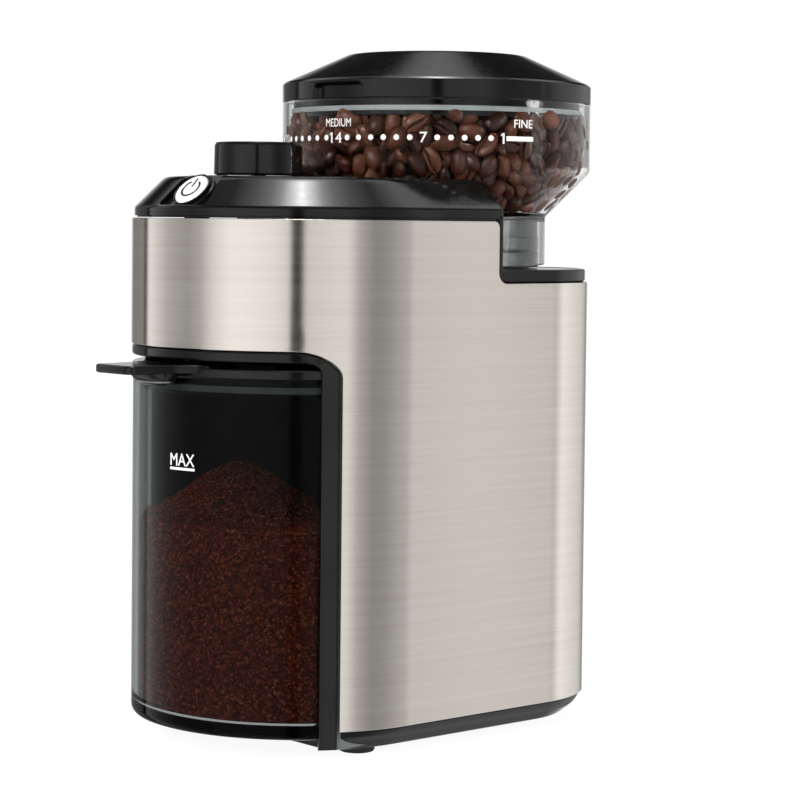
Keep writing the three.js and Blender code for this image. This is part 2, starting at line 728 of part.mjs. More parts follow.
// A thin disc of paddles that throws the ground coffee into the chute.
function sweeper() {
  const disc = rod(0, HOPPER_Y, 40, 162.4, 164, 24);
  const hub = rod(0, HOPPER_Y, 9, 162.4, 168.2, 24);
  const paddles = [];
  for (let i = 0; i < 6; i++) {
    const paddle = new THREE.BoxGeometry(31, 1.8, 4.4);
    paddle.translate(24, 0, 165.8);
    paddle.rotateZ((Math.PI * i) / 3 + 0.2);
    paddle.translate(0, HOPPER_Y, 0);
    paddles.push(toSolid(paddle));
  }
  return cut(join([disc, hub, ...paddles]), rod(0, HOPPER_Y, SHAFT_RADIUS + GAP, 150, 200));
}

function burrChamber() {
  const section = [
    [6.9, CHAMBER_BOTTOM],
    [CHAMBER_RADIUS, CHAMBER_BOTTOM],
    [CHAMBER_RADIUS, LEDGE_BOTTOM - GAP],
    [CHAMBER_BORE, LEDGE_BOTTOM - GAP],
    [CHAMBER_BORE, CHAMBER_FLOOR],
    [6.9, CHAMBER_FLOOR],
  ];
  const cup = turned(section, 0, HOPPER_Y, 24);
  const outlet = box(-11, 11, HOPPER_Y - 60, HOPPER_Y - 30, CHAMBER_FLOOR + 0.2, CHAMBER_FLOOR + 9);
  return cup.subtract(outlet);
}

function burrShaft() {
  return rod(0, HOPPER_Y, SHAFT_RADIUS, SHAFT_BOTTOM, SHAFT_TOP, 24);
}

function burrNut() {
  return cut(rod(0, HOPPER_Y, 7, 183, 186.6, 6), rod(0, HOPPER_Y, SHAFT_RADIUS + GAP, 150, 200));
}

const bush = (z0, z1) => tube(0, HOPPER_Y, SHAFT_RADIUS + GAP, 6.6, z0, z1, 18);

// ---------------------------------------------------------------- gears
function gearPoints(x, y, teeth, phase) {
  const pitch = (MODULE * teeth) / 2;
  const root = pitch - 1.2 * MODULE;
  const tip = pitch + 0.85 * MODULE;
  const rootHalf = (1.15 * MODULE) / root;
  const tipHalf = (0.3 * MODULE) / tip;
  const points = [];
  for (let i = 0; i < teeth; i++) {
    const angle = phase + (2 * Math.PI * i) / teeth;
    for (const [radius, offset] of [
      [root, -rootHalf],
      [tip, -tipHalf],
      [tip, tipHalf],
      [root, rootHalf],
    ]) {
      points.push([x + radius * Math.cos(angle + offset), y + radius * Math.sin(angle + offset)]);
    }
  }
  return points;
}

function gear(x, teeth, phase, z0, z1) {
  const points = gearPoints(x, HOPPER_Y, teeth, phase);
  return loft([
    { z: z0, points },
    { z: z1, points },
  ]);
}

function driveGear() {
  const wheel = gear(0, DRIVE_TEETH, Math.PI / DRIVE_TEETH, 144.4, 150.4);
  const hub = rod(0, HOPPER_Y, 8, 144.4, 151.8);
  return cut(wheel.add(hub), rod(0, HOPPER_Y, SHAFT_RADIUS + GAP, 130, 200));
}

function intermediateGear() {
  const wheel = gear(WHEEL_X, WHEEL_TEETH, Math.PI / WHEEL_TEETH, 136.5, 141.5);
  const pinion = gear(WHEEL_X, PINION_TEETH, 0, 141, 151.6);
  return cut(wheel.add(pinion), rod(WHEEL_X, HOPPER_Y, 2.3, 130, 200, 20));
}

function motorPinion() {
  const pinion = gear(MOTOR_X, PINION_TEETH, 0, 136, 142.4);
  return cut(pinion, rod(MOTOR_X, HOPPER_Y, 2.3, 130, 200, 20));
}

function capsule(extra) {
  const shape = new THREE.Shape();
  const left = 22.5 + extra;
  const right = 19.6 + extra;
  const lean = Math.asin((left - right) / WHEEL_X);
  shape.absarc(0, HOPPER_Y, left, Math.PI / 2 - lean, 1.5 * Math.PI + lean, false);
  shape.absarc(WHEEL_X, HOPPER_Y, right, -Math.PI / 2 + lean, Math.PI / 2 - lean, false);
  return shape;
}

function gearboxBase() {
  const shell = prism(capsule(2.4), GEARBOX_BOTTOM, GEARBOX_TOP, 8);
  const ears = GEARBOX_SCREWS.map(([x, y]) => rod(x, y, 4.2, GEARBOX_BOTTOM, GEARBOX_TOP, 20));
  const screwHoles = GEARBOX_SCREWS.map(([x, y]) => rod(x, y, 1.8, 140, 170, 10));
  const motorHoles = MOTOR_SCREWS.map(([x, y]) => rod(x, y, 1.8, 120, 140, 10));
  return cut(
    join([shell, ...ears]),
    prism(capsule(0), GEARBOX_BOTTOM + 3, 170, 8),
    rod(MOTOR_X, HOPPER_Y, 5.2, 120, 140),
    rod(WHEEL_X, HOPPER_Y, 2.3, 120, 140, 20),
    ...screwHoles,
    ...motorHoles,
  );
}

function gearboxCover() {
  const z0 = GEARBOX_TOP + GAP;
  const plate = prism(capsule(2.4), z0, z0 + 3, 8);
  const ears = GEARBOX_SCREWS.map(([x, y]) => rod(x, y, 4.2, z0, z0 + 3, 12));
  const holes = GEARBOX_SCREWS.map(([x, y]) => rod(x, y, 1.8, 140, 170, 10));
  return cut(
    join([plate, ...ears]),
    rod(0, HOPPER_Y, 6.9, 140, 170),
    rod(WHEEL_X, HOPPER_Y, 2.3, 140, 170, 20),
    ...holes,
  );
}

// ---------------------------------------------------------------- motor
function motorCan() {
  const section = [
    [3, MOTOR_BOTTOM],
    [MOTOR_RADIUS, MOTOR_BOTTOM],
    [MOTOR_RADIUS, MOTOR_TOP],
    [MOTOR_RADIUS - 1.5, MOTOR_TOP],
    [MOTOR_RADIUS - 1.5, MOTOR_BOTTOM + 2],
    [3, MOTOR_BOTTOM + 2],
  ];
  return turned(section, MOTOR_X, HOPPER_Y, 24);
}

function motorEndCap() {
  const cap = tube(MOTOR_X, HOPPER_Y, 2.4, MOTOR_RADIUS - 1.8, MOTOR_TOP - 6, MOTOR_TOP, 20);
  return cut(cap, ...MOTOR_SCREWS.map(([x, y]) => rod(x, y, 1.8, 100, 140, 16)));
}

function motorRotor() {
  const shaft = rod(MOTOR_X, HOPPER_Y, 2, MOTOR_BOTTOM + 1, 142, 20);
  const points = [];
  const slots = 8;
  for (let i = 0; i < slots; i++) {
    const angle = (2 * Math.PI * i) / slots;
    for (const [radius, offset] of [
      [12, -0.15],
      [16, -0.3],
      [16, 0.3],
      [12, 0.15],
    ]) {
      points.push([MOTOR_X + radius * Math.cos(angle + offset), HOPPER_Y + radius * Math.sin(angle + offset)]);
    }
  }
  const core = loft([
    { z: 82, points },
    { z: 112, points },
  ]);
  const windings = rod(MOTOR_X, HOPPER_Y, 12.5, 77, 116, 28);
  const commutator = rod(MOTOR_X, HOPPER_Y, 6, 115, 123, 24);
  return join([shaft, core, windings, commutator]);
}

// The motor and gearbox hang from a shelf on four legs.
function motorShelf() {
  const z1 = GEARBOX_BOTTOM - GAP;
  const plate = bodyBlock(3.4, z1 - 3.4, z1).intersect(behind(LINER_BACK + 1.2));
  const legs = LEG_PLACES.map(([x, y]) => box(x - 5, x + 5, y - 5, y + 5, BASE_BOTTOM + 2.8, z1 - 1));
  const screwHoles = LEG_PLACES.map(([x, y]) => rod(x, y, BASE_SCREW_RADIUS + GAP, 0, 18, 16));
  return cut(
    join([plate, ...legs]),
    rod(MOTOR_X, HOPPER_Y, MOTOR_RADIUS + 1.5, 100, 140, 40),
    ...screwHoles,
  );
}

// ---------------------------------------------------------------- screws, axle, gland
// A pan-head screw with a cross recess, head up.
function screw(x, y, radius, tip, seat) {
  const head = rod(x, y, radius * 2, seat, seat + radius * 1.2, 14, radius * 1.7);
  const shank = rod(x, y, radius, tip, seat + 0.5, 10);
  const slotTop = seat + radius * 1.2 + 1;
  const slotDepth = seat + radius * 0.6;
  const cross = [
    box(x - radius, x + radius, y - radius * 0.2, y + radius * 0.2, slotDepth, slotTop),
    box(x - radius * 0.2, x + radius * 0.2, y - radius, y + radius, slotDepth, slotTop),
  ];
  return cut(head.add(shank), ...cross);
}

function baseScrew(x, y) {
  const head = rod(x, y, 2.6, 1.1, BASE_BOTTOM - GAP, 14, 3.2);
  const slot = box(x - 2, x + 2, y - 0.4, y + 0.4, 0, 1.7);
  return cut(head.add(rod(x, y, BASE_SCREW_RADIUS, 2.3, 15, 10)), slot);
}

function rearScrew(x, z) {
  const face = REAR_Y - 0.2;
  const head = rodAlongY(x, z, 3, face + GAP, face + 1.8, 14);
  const shank = rodAlongY(x, z, 1.5, face - 8, face + 0.6, 10);
  return cut(head.add(shank), box(x - 2, x + 2, face + 1.1, face + 5, z - 0.4, z + 0.4));
}

function cordGland() {
  const face = REAR_Y - 0.2;
  const flange = rodAlongY(0, GLAND_Z, 8.5, face + GAP, face + 3.5, 24);
  const barrel = rodAlongY(0, GLAND_Z, 6, face - 7, face + 1, 24);
  return cut(flange.add(barrel), rodAlongY(0, GLAND_Z, 4, face - 20, face + 20, 20));
}

function timerKnob() {
  const bottom = DECK_TOP + 2 * GAP;
  const section = [
    [0, KNOB_SHAFT_TOP + GAP],
    [KNOB_SHAFT_RADIUS + GAP, KNOB_SHAFT_TOP + GAP],
    [KNOB_SHAFT_RADIUS + GAP, bottom],
    [KNOB_RADIUS, bottom],
    [KNOB_RADIUS - 0.5, KNOB_TOP - 1.4],
    [KNOB_RADIUS - 2, KNOB_TOP],
    [0, KNOB_TOP],
  ];
  return turned(section, 0, KNOB_Y, 36);
}

// ---------------------------------------------------------------- assembly
const grinder = new THREE.Group();

function place(name, solid, material, parent = grinder) {
  const mesh = new THREE.Mesh(toGeometry(solid), material);
  mesh.name = name;
  parent.add(mesh);
}

const slope = new THREE.Group();
slopeMatrix().decompose(slope.position, slope.quaternion, slope.scale);
grinder.add(slope);

place("base_pan", basePan(), blackPlastic());
for (const [corner, [x, y]] of Object.entries(FOOT_PLACES)) {
  place(`foot_${corner}`, foot(x, y), rubber());
}
place("steel_wrap", steelWrap(), brushedSteel());
place("bay_liner", bayLiner(), blackPlastic());
place("rear_cover", rearCover(), blackPlastic());
place("top_deck", topDeck(), blackGloss());
place("cord_gland", cordGland(), blackPlastic());
LEG_PLACES.forEach(([x, y], i) => place(`base_screw_${i + 1}`, baseScrew(x, y), zincSteel()));
REAR_SCREWS.forEach(([x, z], i) => place(`rear_screw_${i + 1}`, rearScrew(x, z), zincSteel()));

place("button_ring", buttonRing(), blackGloss(), slope);
place("power_button", buttonCap(), whitePlastic(), slope);
place("start_switch", startSwitch(), blackPlastic(), slope);
place("timer_knob", timerKnob(), blackGloss());
place("knob_shaft", rod(0, KNOB_Y, KNOB_SHAFT_RADIUS, 213, KNOB_SHAFT_TOP), zincSteel());
place("timer_pot", timerPot(), zincSteel());
place("control_board", controlBoard(), boardGreen());

place("motor_shelf", motorShelf(), blackPlastic());
place("motor_can", motorCan(), zincSteel());
place("motor_end_cap", motorEndCap(), blackPlastic());
place("motor_rotor", motorRotor(), copper());
place("motor_pinion", motorPinion(), brass());
MOTOR_SCREWS.forEach(([x, y], i) =>
  place(`motor_screw_${i + 1}`, screw(x, y, 1.5, MOTOR_TOP - 5, GEARBOX_BOTTOM + 3 + GAP), zincSteel()),
);
place("gearbox_base", gearboxBase(), blackPlastic());
place("gearbox_cover", gearboxCover(), blackPlastic());
place("intermediate_axle", rod(WHEEL_X, HOPPER_Y, 2, 132.2, 156, 20), zincSteel());
place("intermediate_gear", intermediateGear(), naturalNylon());
GEARBOX_SCREWS.forEach(([x, y], i) =>
  place(`gearbox_screw_${i + 1}`, screw(x, y, 1.5, 143, GEARBOX_TOP + 2 * GAP + 3), zincSteel()),
);
place("drive_gear", driveGear(), naturalNylon());
place("burr_shaft", burrShaft(), zincSteel());
place("shaft_bush_lower", bush(152.4, 156.4), brass());
place("shaft_bush_upper", bush(158.6, 161.9), brass());
place("burr_chamber", burrChamber(), blackPlastic());
place("sweeper", sweeper(), naturalNylon());
place("inner_burr", innerBurr(), darkSteel());
place("burr_nut", burrNut(), zincSteel());
place("outer_burr", outerBurr(), darkSteel());
place("burr_carrier", burrCarrier(), greyPlastic());
place("adjust_ring", adjustRing(), greyPlastic());
place("chute", chute(), blackPlastic());
place("interlock_switch", interlockSwitch(), blackPlastic());
place("interlock_plunger", interlockPlunger(), whitePlastic());

place("grounds_container", groundsContainer(), smokedPlastic());
place("container_lid", containerLid(), blackGloss());
place("container_seal", containerSeal(), silicone());
place("hopper", hopper(), clearPlastic());
place("hopper_lid", hopperLid(), blackGloss());
place("hopper_seal", hopperSeal(), silicone());

export default grinder;
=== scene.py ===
"""Looks of the burr coffee grinder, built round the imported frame.

Shapes are drawn in millimetres, +Z up, front towards -Y, and become metres when a mesh is made.
"""
import json
import math

import bmesh
import bpy
import numpy as np
from mathutils import Matrix, Vector, geometry, noise


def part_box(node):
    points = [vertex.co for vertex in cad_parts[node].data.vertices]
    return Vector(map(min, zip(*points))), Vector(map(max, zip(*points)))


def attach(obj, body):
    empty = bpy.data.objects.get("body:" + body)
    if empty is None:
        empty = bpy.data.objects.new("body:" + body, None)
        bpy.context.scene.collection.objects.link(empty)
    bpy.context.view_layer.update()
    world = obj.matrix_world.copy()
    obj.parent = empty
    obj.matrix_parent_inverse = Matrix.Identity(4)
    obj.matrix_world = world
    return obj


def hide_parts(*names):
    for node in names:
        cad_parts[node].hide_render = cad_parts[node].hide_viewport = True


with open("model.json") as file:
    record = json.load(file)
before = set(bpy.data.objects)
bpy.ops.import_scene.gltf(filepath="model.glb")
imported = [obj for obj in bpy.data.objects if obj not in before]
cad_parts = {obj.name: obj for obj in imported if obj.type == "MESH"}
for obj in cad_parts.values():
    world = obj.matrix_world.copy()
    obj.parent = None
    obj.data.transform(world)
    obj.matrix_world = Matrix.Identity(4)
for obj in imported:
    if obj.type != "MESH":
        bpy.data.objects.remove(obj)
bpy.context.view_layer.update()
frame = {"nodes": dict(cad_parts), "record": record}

MM = 0.001
WELD = 1e-6  # metres; points closer than this are one point


def span(node):
    """Lowest and highest corner of a CAD node, in millimetres."""
    low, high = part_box(node)
    return np.array(low) / MM, np.array(high) / MM


# ---------------------------------------------------------------- sizes from the frame
STEEL_LOW, STEEL_HIGH = span("steel_wrap")
DECK_TOP = span("top_deck")[1][2]
POT_LOW, POT_HIGH = span("grounds_container")
POT_LID_LOW, POT_LID_HIGH = span("container_lid")
COVER_HIGH = span("rear_cover")[1]
HOPPER_LOW, HOPPER_HIGH = span("hopper")
LID_LOW, LID_HIGH = span("hopper_lid")
KNOB_LOW, KNOB_HIGH = span("timer_knob")
BASE_LOW, BASE_HIGH = span("base_pan")
CHUTE_LOW, CHUTE_HIGH = span("chute")
PLUNGER_LOW, PLUNGER_HIGH = span("interlock_plunger")

GAP = 0.3
HALF = STEEL_HIGH[0]  # half the body's width, and the radius of its round front
FRONT_Y = STEEL_LOW[1]
ARC_Y = FRONT_Y + HALF
REAR_Y = COVER_HIGH[1] + 0.2
REAR_CORNER = 46.0
SIDE_LENGTH = REAR_Y - REAR_CORNER - ARC_Y
FRONT_ARC = HALF * math.pi / 2
CORNER_ARC = REAR_CORNER * math.pi / 2
HALF_GIRTH = FRONT_ARC + SIDE_LENGTH + CORNER_ARC + HALF - REAR_CORNER
HOPPER_Y = (HOPPER_LOW[1] + HOPPER_HIGH[1]) / 2
STEEL_BOTTOM = STEEL_LOW[2]
STEEL_TOP = STEEL_HIGH[2]
LIP_TOP = STEEL_TOP + 4.4
NOTCH_FLOOR = COVER_HIGH[2]
NOTCH_Y = FRONT_Y + 115.5  # upright edge of the steel beside the hopper's neck
DECK_BACK_Y = NOTCH_Y + 3.3
LEDGE_TOP = NOTCH_FLOOR + 5.5
BAY_HALF = 62.5
BAY_TOP = 158.5
BAY_CEILING = 154.0
BAY_CORNER = 10.0
BAY_INNER = 58.6
BAY_BACK = POT_HIGH[1] + 3.0
LINER_BACK = BAY_BACK + 2.9
FRAME_FOOT = 4.4  # lower end of the bay's frame and of the shelf between its posts
BASE_FRONT = FRONT_Y + 41.5
CHUTE_HALF = CHUTE_HIGH[0] - 2
CHUTE_FRONT = CHUTE_LOW[1] + 2
CHUTE_DEPTH = 16.0
RING_SLEEVE = 40.1  # outer radius of the adjuster's sleeve
GLAND_Z = 26.0
REAR_SCREWS = [(-24, 30), (24, 30)]


# ---------------------------------------------------------------- flat paths
def fillet(corners, closed=True, steps=6):
    """A path through corners (u, v) or (u, v, radius), where a radius rounds that corner."""
    path = []
    count = len(corners)
    for i, corner in enumerate(corners):
        here = np.array(corner[:2], float)
        radius = corner[2] if len(corner) > 2 else 0
        at_end = not closed and i in (0, count - 1)
        if radius <= 0 or at_end:
            path.append(here)
            continue
        back = np.array(corners[i - 1][:2], float) - here
        ahead = np.array(corners[(i + 1) % count][:2], float) - here
        back /= np.linalg.norm(back)
        ahead /= np.linalg.norm(ahead)
        half = math.acos(max(-1, min(1, back @ ahead))) / 2
        middle = (back + ahead) / np.linalg.norm(back + ahead)
        centre = here + middle * radius / math.sin(half)
        first = here + back * radius / math.tan(half) - centre
        last = here + ahead * radius / math.tan(half) - centre
        turn = math.atan2(first[0] * last[1] - first[1] * last[0], first @ last)
        for k in range(steps + 1):
            cos, sin = math.cos(turn * k / steps), math.sin(turn * k / steps)
            path.append(centre + (first[0] * cos - first[1] * sin, first[0] * sin + first[1] * cos))
    return np.array(path)


def rectangle(left, right, low, high, radius=0, steps=4):
    """A rectangle with round corners, anticlockwise."""
    corners = ((left, low), (right, low), (right, high), (left, high))
    return fillet([(*corner, radius) for corner in corners], True, steps)


def arc(cx, cy, radius, start, end, steps):
    """Points on a circle from one angle to another, in degrees."""
    angle = np.radians(np.linspace(start, end, steps + 1))
    return np.stack([cx + radius * np.cos(angle), cy + radius * np.sin(angle)], 1)


def round_hole(cx, cy, radius, steps):
    """A clockwise circle."""
    return arc(cx, cy, radius, 360, 0, steps)[:-1]


def mirrored(path):
    """The path on the other side of the middle, walked the other way."""
    return path[::-1] * (-1, 1)


def split_long(path, step, closed=True):
    """The same path with no stretch longer than step along its first axis."""
    points = []
    count = len(path)
    for i in range(count if closed else count - 1):
        a, b = path[i], path[(i + 1) % count]
        parts = max(1, math.ceil(abs(b[0] - a[0]) / step))
        points += [a + (b - a) * k / parts for k in range(parts)]
    if not closed:
        points.append(path[-1])
    return np.array(points)


def inset(loop, amount):
    """A closed anticlockwise loop moved inwards; a clockwise one grows."""
    normals = []
    for step in (loop - np.roll(loop, 1, axis=0), np.roll(loop, -1, axis=0) - loop):
        step = step / np.maximum(np.linalg.norm(step, axis=1, keepdims=True), 1e-9)
        normals.append(np.stack([-step[:, 1], step[:, 0]], 1))
    total = normals[0] + normals[1]
    share = 1 + (normals[0] * normals[1]).sum(1, keepdims=True)
    return loop + amount * total / np.maximum(share, 0.35)


def inside(points, loops):
    """Which points lie inside the loops, by the even-odd rule."""
    result = np.zeros(len(points), bool)
    for loop in loops:
        for (ax, ay), (bx, by) in zip(loop, np.roll(loop, -1, axis=0)):
            if ay == by:
                continue
            crosses = (ay > points[:, 1]) != (by > points[:, 1])
            x = ax + (points[:, 1] - ay) * (bx - ax) / (by - ay)
            result ^= crosses & (points[:, 0] < x)
    return result


def inner_grid(loops, spacing):
    """Grid points inside the loops, kept a little away from their edges."""
    everything = np.concatenate(loops)
    low, high = everything.min(0), everything.max(0)
    du, dv = spacing
    u, v = np.meshgrid(np.arange(low[0] + du / 2, high[0], du), np.arange(low[1] + dv / 2, high[1], dv))
    points = np.stack([u.ravel(), v.ravel()], 1)
    points = points[inside(points, loops)]
    keep = np.ones(len(points), bool)
    for edge in everything:
        offset = np.abs(points - edge) / (du, dv)
        keep &= (offset[:, 0] > 0.5) | (offset[:, 1] > 0.5)
    return points[keep]


def fill(loops, spacing=None):
    """Points and triangles that cover the area inside the loops; the loops' own points come first."""
    points = np.concatenate(loops)
    edges = []
    start = 0
    for loop in loops:
        count = len(loop)
        edges += [(start + i, start + (i + 1) % count) for i in range(count)]
        start += count
    if spacing:
        points = np.concatenate([points, inner_grid(loops, spacing)])
    made, _, faces, origin, _, _ = geometry.delaunay_2d_cdt(
        [Vector(p) for p in points], edges, [], 0, 1e-6, True
    )
    own = [ids[0] if ids else None for ids in origin]
    made = np.array([p[:] for p in made])
    centres = np.array([made[list(face)].mean(0) for face in faces])
    keep = inside(centres, loops)
    triangles = [tuple(own[i] for i in face) for face, good in zip(faces, keep) if good]
    return points, [face for face in triangles if None not in face]


# ---------------------------------------------------------------- meshes
def flat(u, v, h):
    """The plain place function: drawn in X and Y, raised by h."""
    return np.stack([u, v, h + 0 * u], 1)


def raised(height):
    """A place function that draws in X and Y, at a height."""
    return lambda u, v, h: flat(u, v, h + height)


def at_height(points, height):
    """Flat points at one height, or each at its own."""
    return np.column_stack([points, np.broadcast_to(height, len(points))])


class Form:
    """Points and faces, gathered from several bodies."""

    def __init__(self):
        self.points = []
        self.faces = []

    def add(self, points, faces):
        start = len(self.points)
        self.points += [tuple(p) for p in points]
        self.faces += [tuple(start + i for i in face) for face in faces]
        return self

    def join(self, other, matrix=None):
        points = other.points if matrix is None else [matrix @ Vector(p) for p in other.points]
        return self.add(points, other.faces)

    def skin(self, rings):
        """Adds quads between closed rings of equal size."""
        count = len(rings[0])
        faces = []
        for start in range(0, (len(rings) - 1) * count, count):
            for i in range(count):
                a, b = start + i, start + (i + 1) % count
                faces.append((a, b, b + count, a + count))
        return self.add(np.concatenate(rings), faces)

    def cover(self, loops, place, spacing=None):
        """Adds a cap inside the loops; place turns its flat points into solid ones."""
        points, faces = fill(loops, spacing)
        return self.add(place(points), faces)


def held(profile, reach=0.4):
    """The same line with points near both ends of its long straights, which keep them flat in shading."""
    profile = np.asarray(profile, float)
    points = [profile[0]]
    for a, b in zip(profile[:-1], profile[1:]):
        length = np.linalg.norm(b - a)
        if length > 4 * reach:
            step = (b - a) * reach / length
            points += [a + step, b - step]
        points.append(b)
    return np.array(points)


def turned(profile, centre=(0, 0), segments=144, closed=False):
    """A skin turned about an upright axis; profile holds (radius, height) points."""
    profile = np.asarray(profile, float)
    if closed:
        profile = np.concatenate([profile, profile[:1]])
    circle = arc(0, 0, 1, 0, 360, segments)[:-1]
    return Form().skin([at_height(radius * circle + centre, height) for radius, height in held(profile)])


def edge_profile(depth, top, bottom, steps=5):
    """(inset, height) pairs from the lower face at -depth to the upper face at 0, with rounded edges."""
    hold = 0.06
    angles = [math.pi / 2 * k / steps for k in range(steps + 1)]
    low = [(bottom * (1 - math.sin(a)), -depth + bottom * (1 - math.cos(a))) for a in angles]
    high = [(top * (1 - math.cos(a)), -top * (1 - math.sin(a))) for a in angles]
    return [(bottom + hold, -depth), *low, *high, (top + hold, 0)]


def slab(loops, profile, place=flat, spacing=None, ring=inset):
    """A plate over loops (the first anticlockwise, holes clockwise) with the edge that profile gives."""
    form = Form()
    for loop in loops:
        form.skin([place(*ring(loop, amount).T, height) for amount, height in profile])
    for amount, height in (profile[0], profile[-1]):
        form.cover([ring(loop, amount) for loop in loops], lambda p: place(*p.T, height), spacing)
    return form


def plate(loop, low, high, place=flat):
    """A thin plate with square edges."""
    return slab([loop], [(0, low), (0, high)], place)


def shell(ring_at, profile):
    """A skin over rings given as ring_at(inset), along (inset, height) pairs, with a cap at each end."""
    form = Form().skin([at_height(ring_at(amount), height) for amount, height in held(profile)])
    for amount, height in (profile[0], profile[-1]):
        form.cover([ring_at(amount)], lambda p: at_height(p, height))
    return form


def piece(name, body, material, form, replaces=(), sharp=38, weld=True):
    """Makes an object of a form, in metres, with outward faces, smooth between sharp edges."""
    mesh = bpy.data.meshes.new(name)
    mesh.from_pydata([tuple(c * MM for c in p) for p in form.points], [], form.faces)
    work = bmesh.new()
    work.from_mesh(mesh)
    if weld:
        bmesh.ops.remove_doubles(work, verts=work.verts, dist=WELD)
    bmesh.ops.recalc_face_normals(work, faces=work.faces)
    work.to_mesh(mesh)
    work.free()
    mesh.shade_smooth()
    mesh.set_sharp_from_angle(angle=math.radians(sharp))
    mesh.materials.append(material)
    made = bpy.data.objects.new(name, mesh)
    bpy.context.scene.collection.objects.link(made)
    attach(made, body)
    if replaces:
        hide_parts(*replaces)
    return made


# ---------------------------------------------------------------- outlines
def wrap(s, v, h):
    """The body's upright skin, unrolled: s runs along it from the front, v is up and h outwards."""
    away = np.abs(s)
    front = np.minimum(away, FRONT_ARC) / HALF
    x = HALF * np.sin(front)
    y = ARC_Y - HALF * np.cos(front)
    nx, ny = np.sin(front), -np.cos(front)
    y = y + np.clip(away - FRONT_ARC, 0, SIDE_LENGTH)
    corner = np.clip((away - FRONT_ARC - SIDE_LENGTH) / REAR_CORNER, 0, math.pi / 2)
    turning = corner > 0
    x = np.where(turning, HALF - REAR_CORNER + REAR_CORNER * np.cos(corner), x)
    y = np.where(turning, REAR_Y - REAR_CORNER + REAR_CORNER * np.sin(corner), y)
    nx = np.where(turning, np.cos(corner), nx)
    ny = np.where(turning, np.sin(corner), ny)
    x = x - np.maximum(away - FRONT_ARC - SIDE_LENGTH - CORNER_ARC, 0)
    return np.stack([np.sign(s) * (x + h * nx), y + h * ny, v], 1)


def wrap_rear(u, v, h):
    """The same skin measured from the middle of the back: u grows towards +X."""
    placed = wrap(HALF_GIRTH - np.abs(u), v, h)
    placed[:, 0] *= np.sign(u) + (u == 0)
    return placed


def along(x):
    """Distance along the round front at which its skin is x from the middle."""
    return HALF * np.arcsin(np.clip(x / HALF, -1, 1))


def rear_corners(amount):
    """The body's two rear corners, moved inwards, anticlockwise."""
    x = HALF - REAR_CORNER
    y = REAR_Y - REAR_CORNER
    radius = REAR_CORNER - amount
    return [arc(x, y, radius, 0, 90, 24), arc(-x, y, radius, 90, 180, 24)]


POT_HALF = POT_HIGH[0]
POT_BACK = POT_HIGH[1]
POT_ARC = ARC_Y - POT_LOW[1]
POT_CORNER = 12.0
POT_KNEE = 5.0  # rounding where the round front meets a side
POT_WALL = 2.5
POT_FLOOR = 5.0
POT_LID_PLATE = 151.3  # top of the container lid's flat part


def pot_ring(amount, steps=56):
    """The container's outline, moved inwards, anticlockwise from the front left knee."""
    half = POT_HALF - amount
    radius = POT_ARC - amount
    knee = max(POT_KNEE - amount, 0.6)
    centre_x = half - knee
    centre_y = ARC_Y - math.sqrt((radius - knee) ** 2 - centre_x**2)
    lean = math.degrees(math.atan2(centre_y - ARC_Y, centre_x))
    corner = POT_CORNER - amount
    back = POT_BACK - amount
    return np.concatenate([
        arc(0, ARC_Y, radius, -180 - lean, lean, steps),
        arc(centre_x, centre_y, knee, lean, 0, 8)[1:],
        arc(half - corner, back - corner, corner, 0, 90, 12),
        arc(corner - half, back - corner, corner, 90, 180, 12),
        arc(-centre_x, centre_y, knee, 180, 180 - lean, 8)[:-1],
    ])


# ---------------------------------------------------------------- materials
def feed(tree, socket, value):
    """Gives an input another node's output, a colour or a number."""
    if isinstance(value, bpy.types.NodeSocket):
        tree.links.new(value, socket)
    elif socket.type == "RGBA":
        socket.default_value = (*value, 1)
    else:
        socket.default_value = value


def add_node(tree, kind, inputs=(), **settings):
    """A new shader node with its settings, and its inputs by name or number."""
    node = tree.nodes.new("ShaderNode" + kind)
    for name, value in settings.items():
        setattr(node, name, value)
    for name, value in dict(inputs).items():
        feed(tree, node.inputs[name], value)
    return node


class Paint:
    """A Principled material with its node tree."""

    def __init__(self, name, color, roughness, metallic=0.0):
        self.material = bpy.data.materials.new(name)
        self.material.use_nodes = True
        self.tree = self.material.node_tree
        self.shader = self.tree.nodes["Principled BSDF"]
        self.set({"Base Color": color, "Roughness": roughness, "Metallic": metallic})

    def set(self, inputs):
        for name, value in inputs.items():
            feed(self.tree, self.shader.inputs[name], value)

    def place(self, scale, stretch=(1, 1, 1)):
        """Positions fixed to the piece; scale is in cells per millimetre."""
        object_place = self.tree.nodes.new("ShaderNodeTexCoord").outputs["Object"]
        inputs = {"Vector": object_place, "Scale": [scale * s / MM for s in stretch]}
        return add_node(self.tree, "Mapping", inputs).outputs["Vector"]

    def noise(self, scale, detail=3.0, stretch=(1, 1, 1), roughness=0.5):
        inputs = {"Vector": self.place(scale, stretch), "Scale": 1.0, "Detail": detail}
        inputs["Roughness"] = roughness
        return add_node(self.tree, "TexNoise", inputs).outputs["Fac"]

    def bump(self, height, strength, distance):
        """Adds relief; distance is in millimetres."""
        inputs = {"Height": height, "Strength": strength, "Distance": distance * MM}
        self.set({"Normal": add_node(self.tree, "Bump", inputs).outputs["Normal"]})


def ramp(tree, value, stops):
    """A colour ramp over value; stops are (position, colour or grey)."""
    node = add_node(tree, "ValToRGB", {"Fac": value})
    band = node.color_ramp
    while len(band.elements) < len(stops):
        band.elements.new(0.5)
    for element, (position, color) in zip(band.elements, stops):
        element.position = position
        if not hasattr(color, "__len__"):
            color = (color, color, color)
        element.color = (*color, 1)
    return node.outputs["Color"]


def math_node(tree, kind, *values):
    return add_node(tree, "Math", enumerate(values), operation=kind).outputs[0]


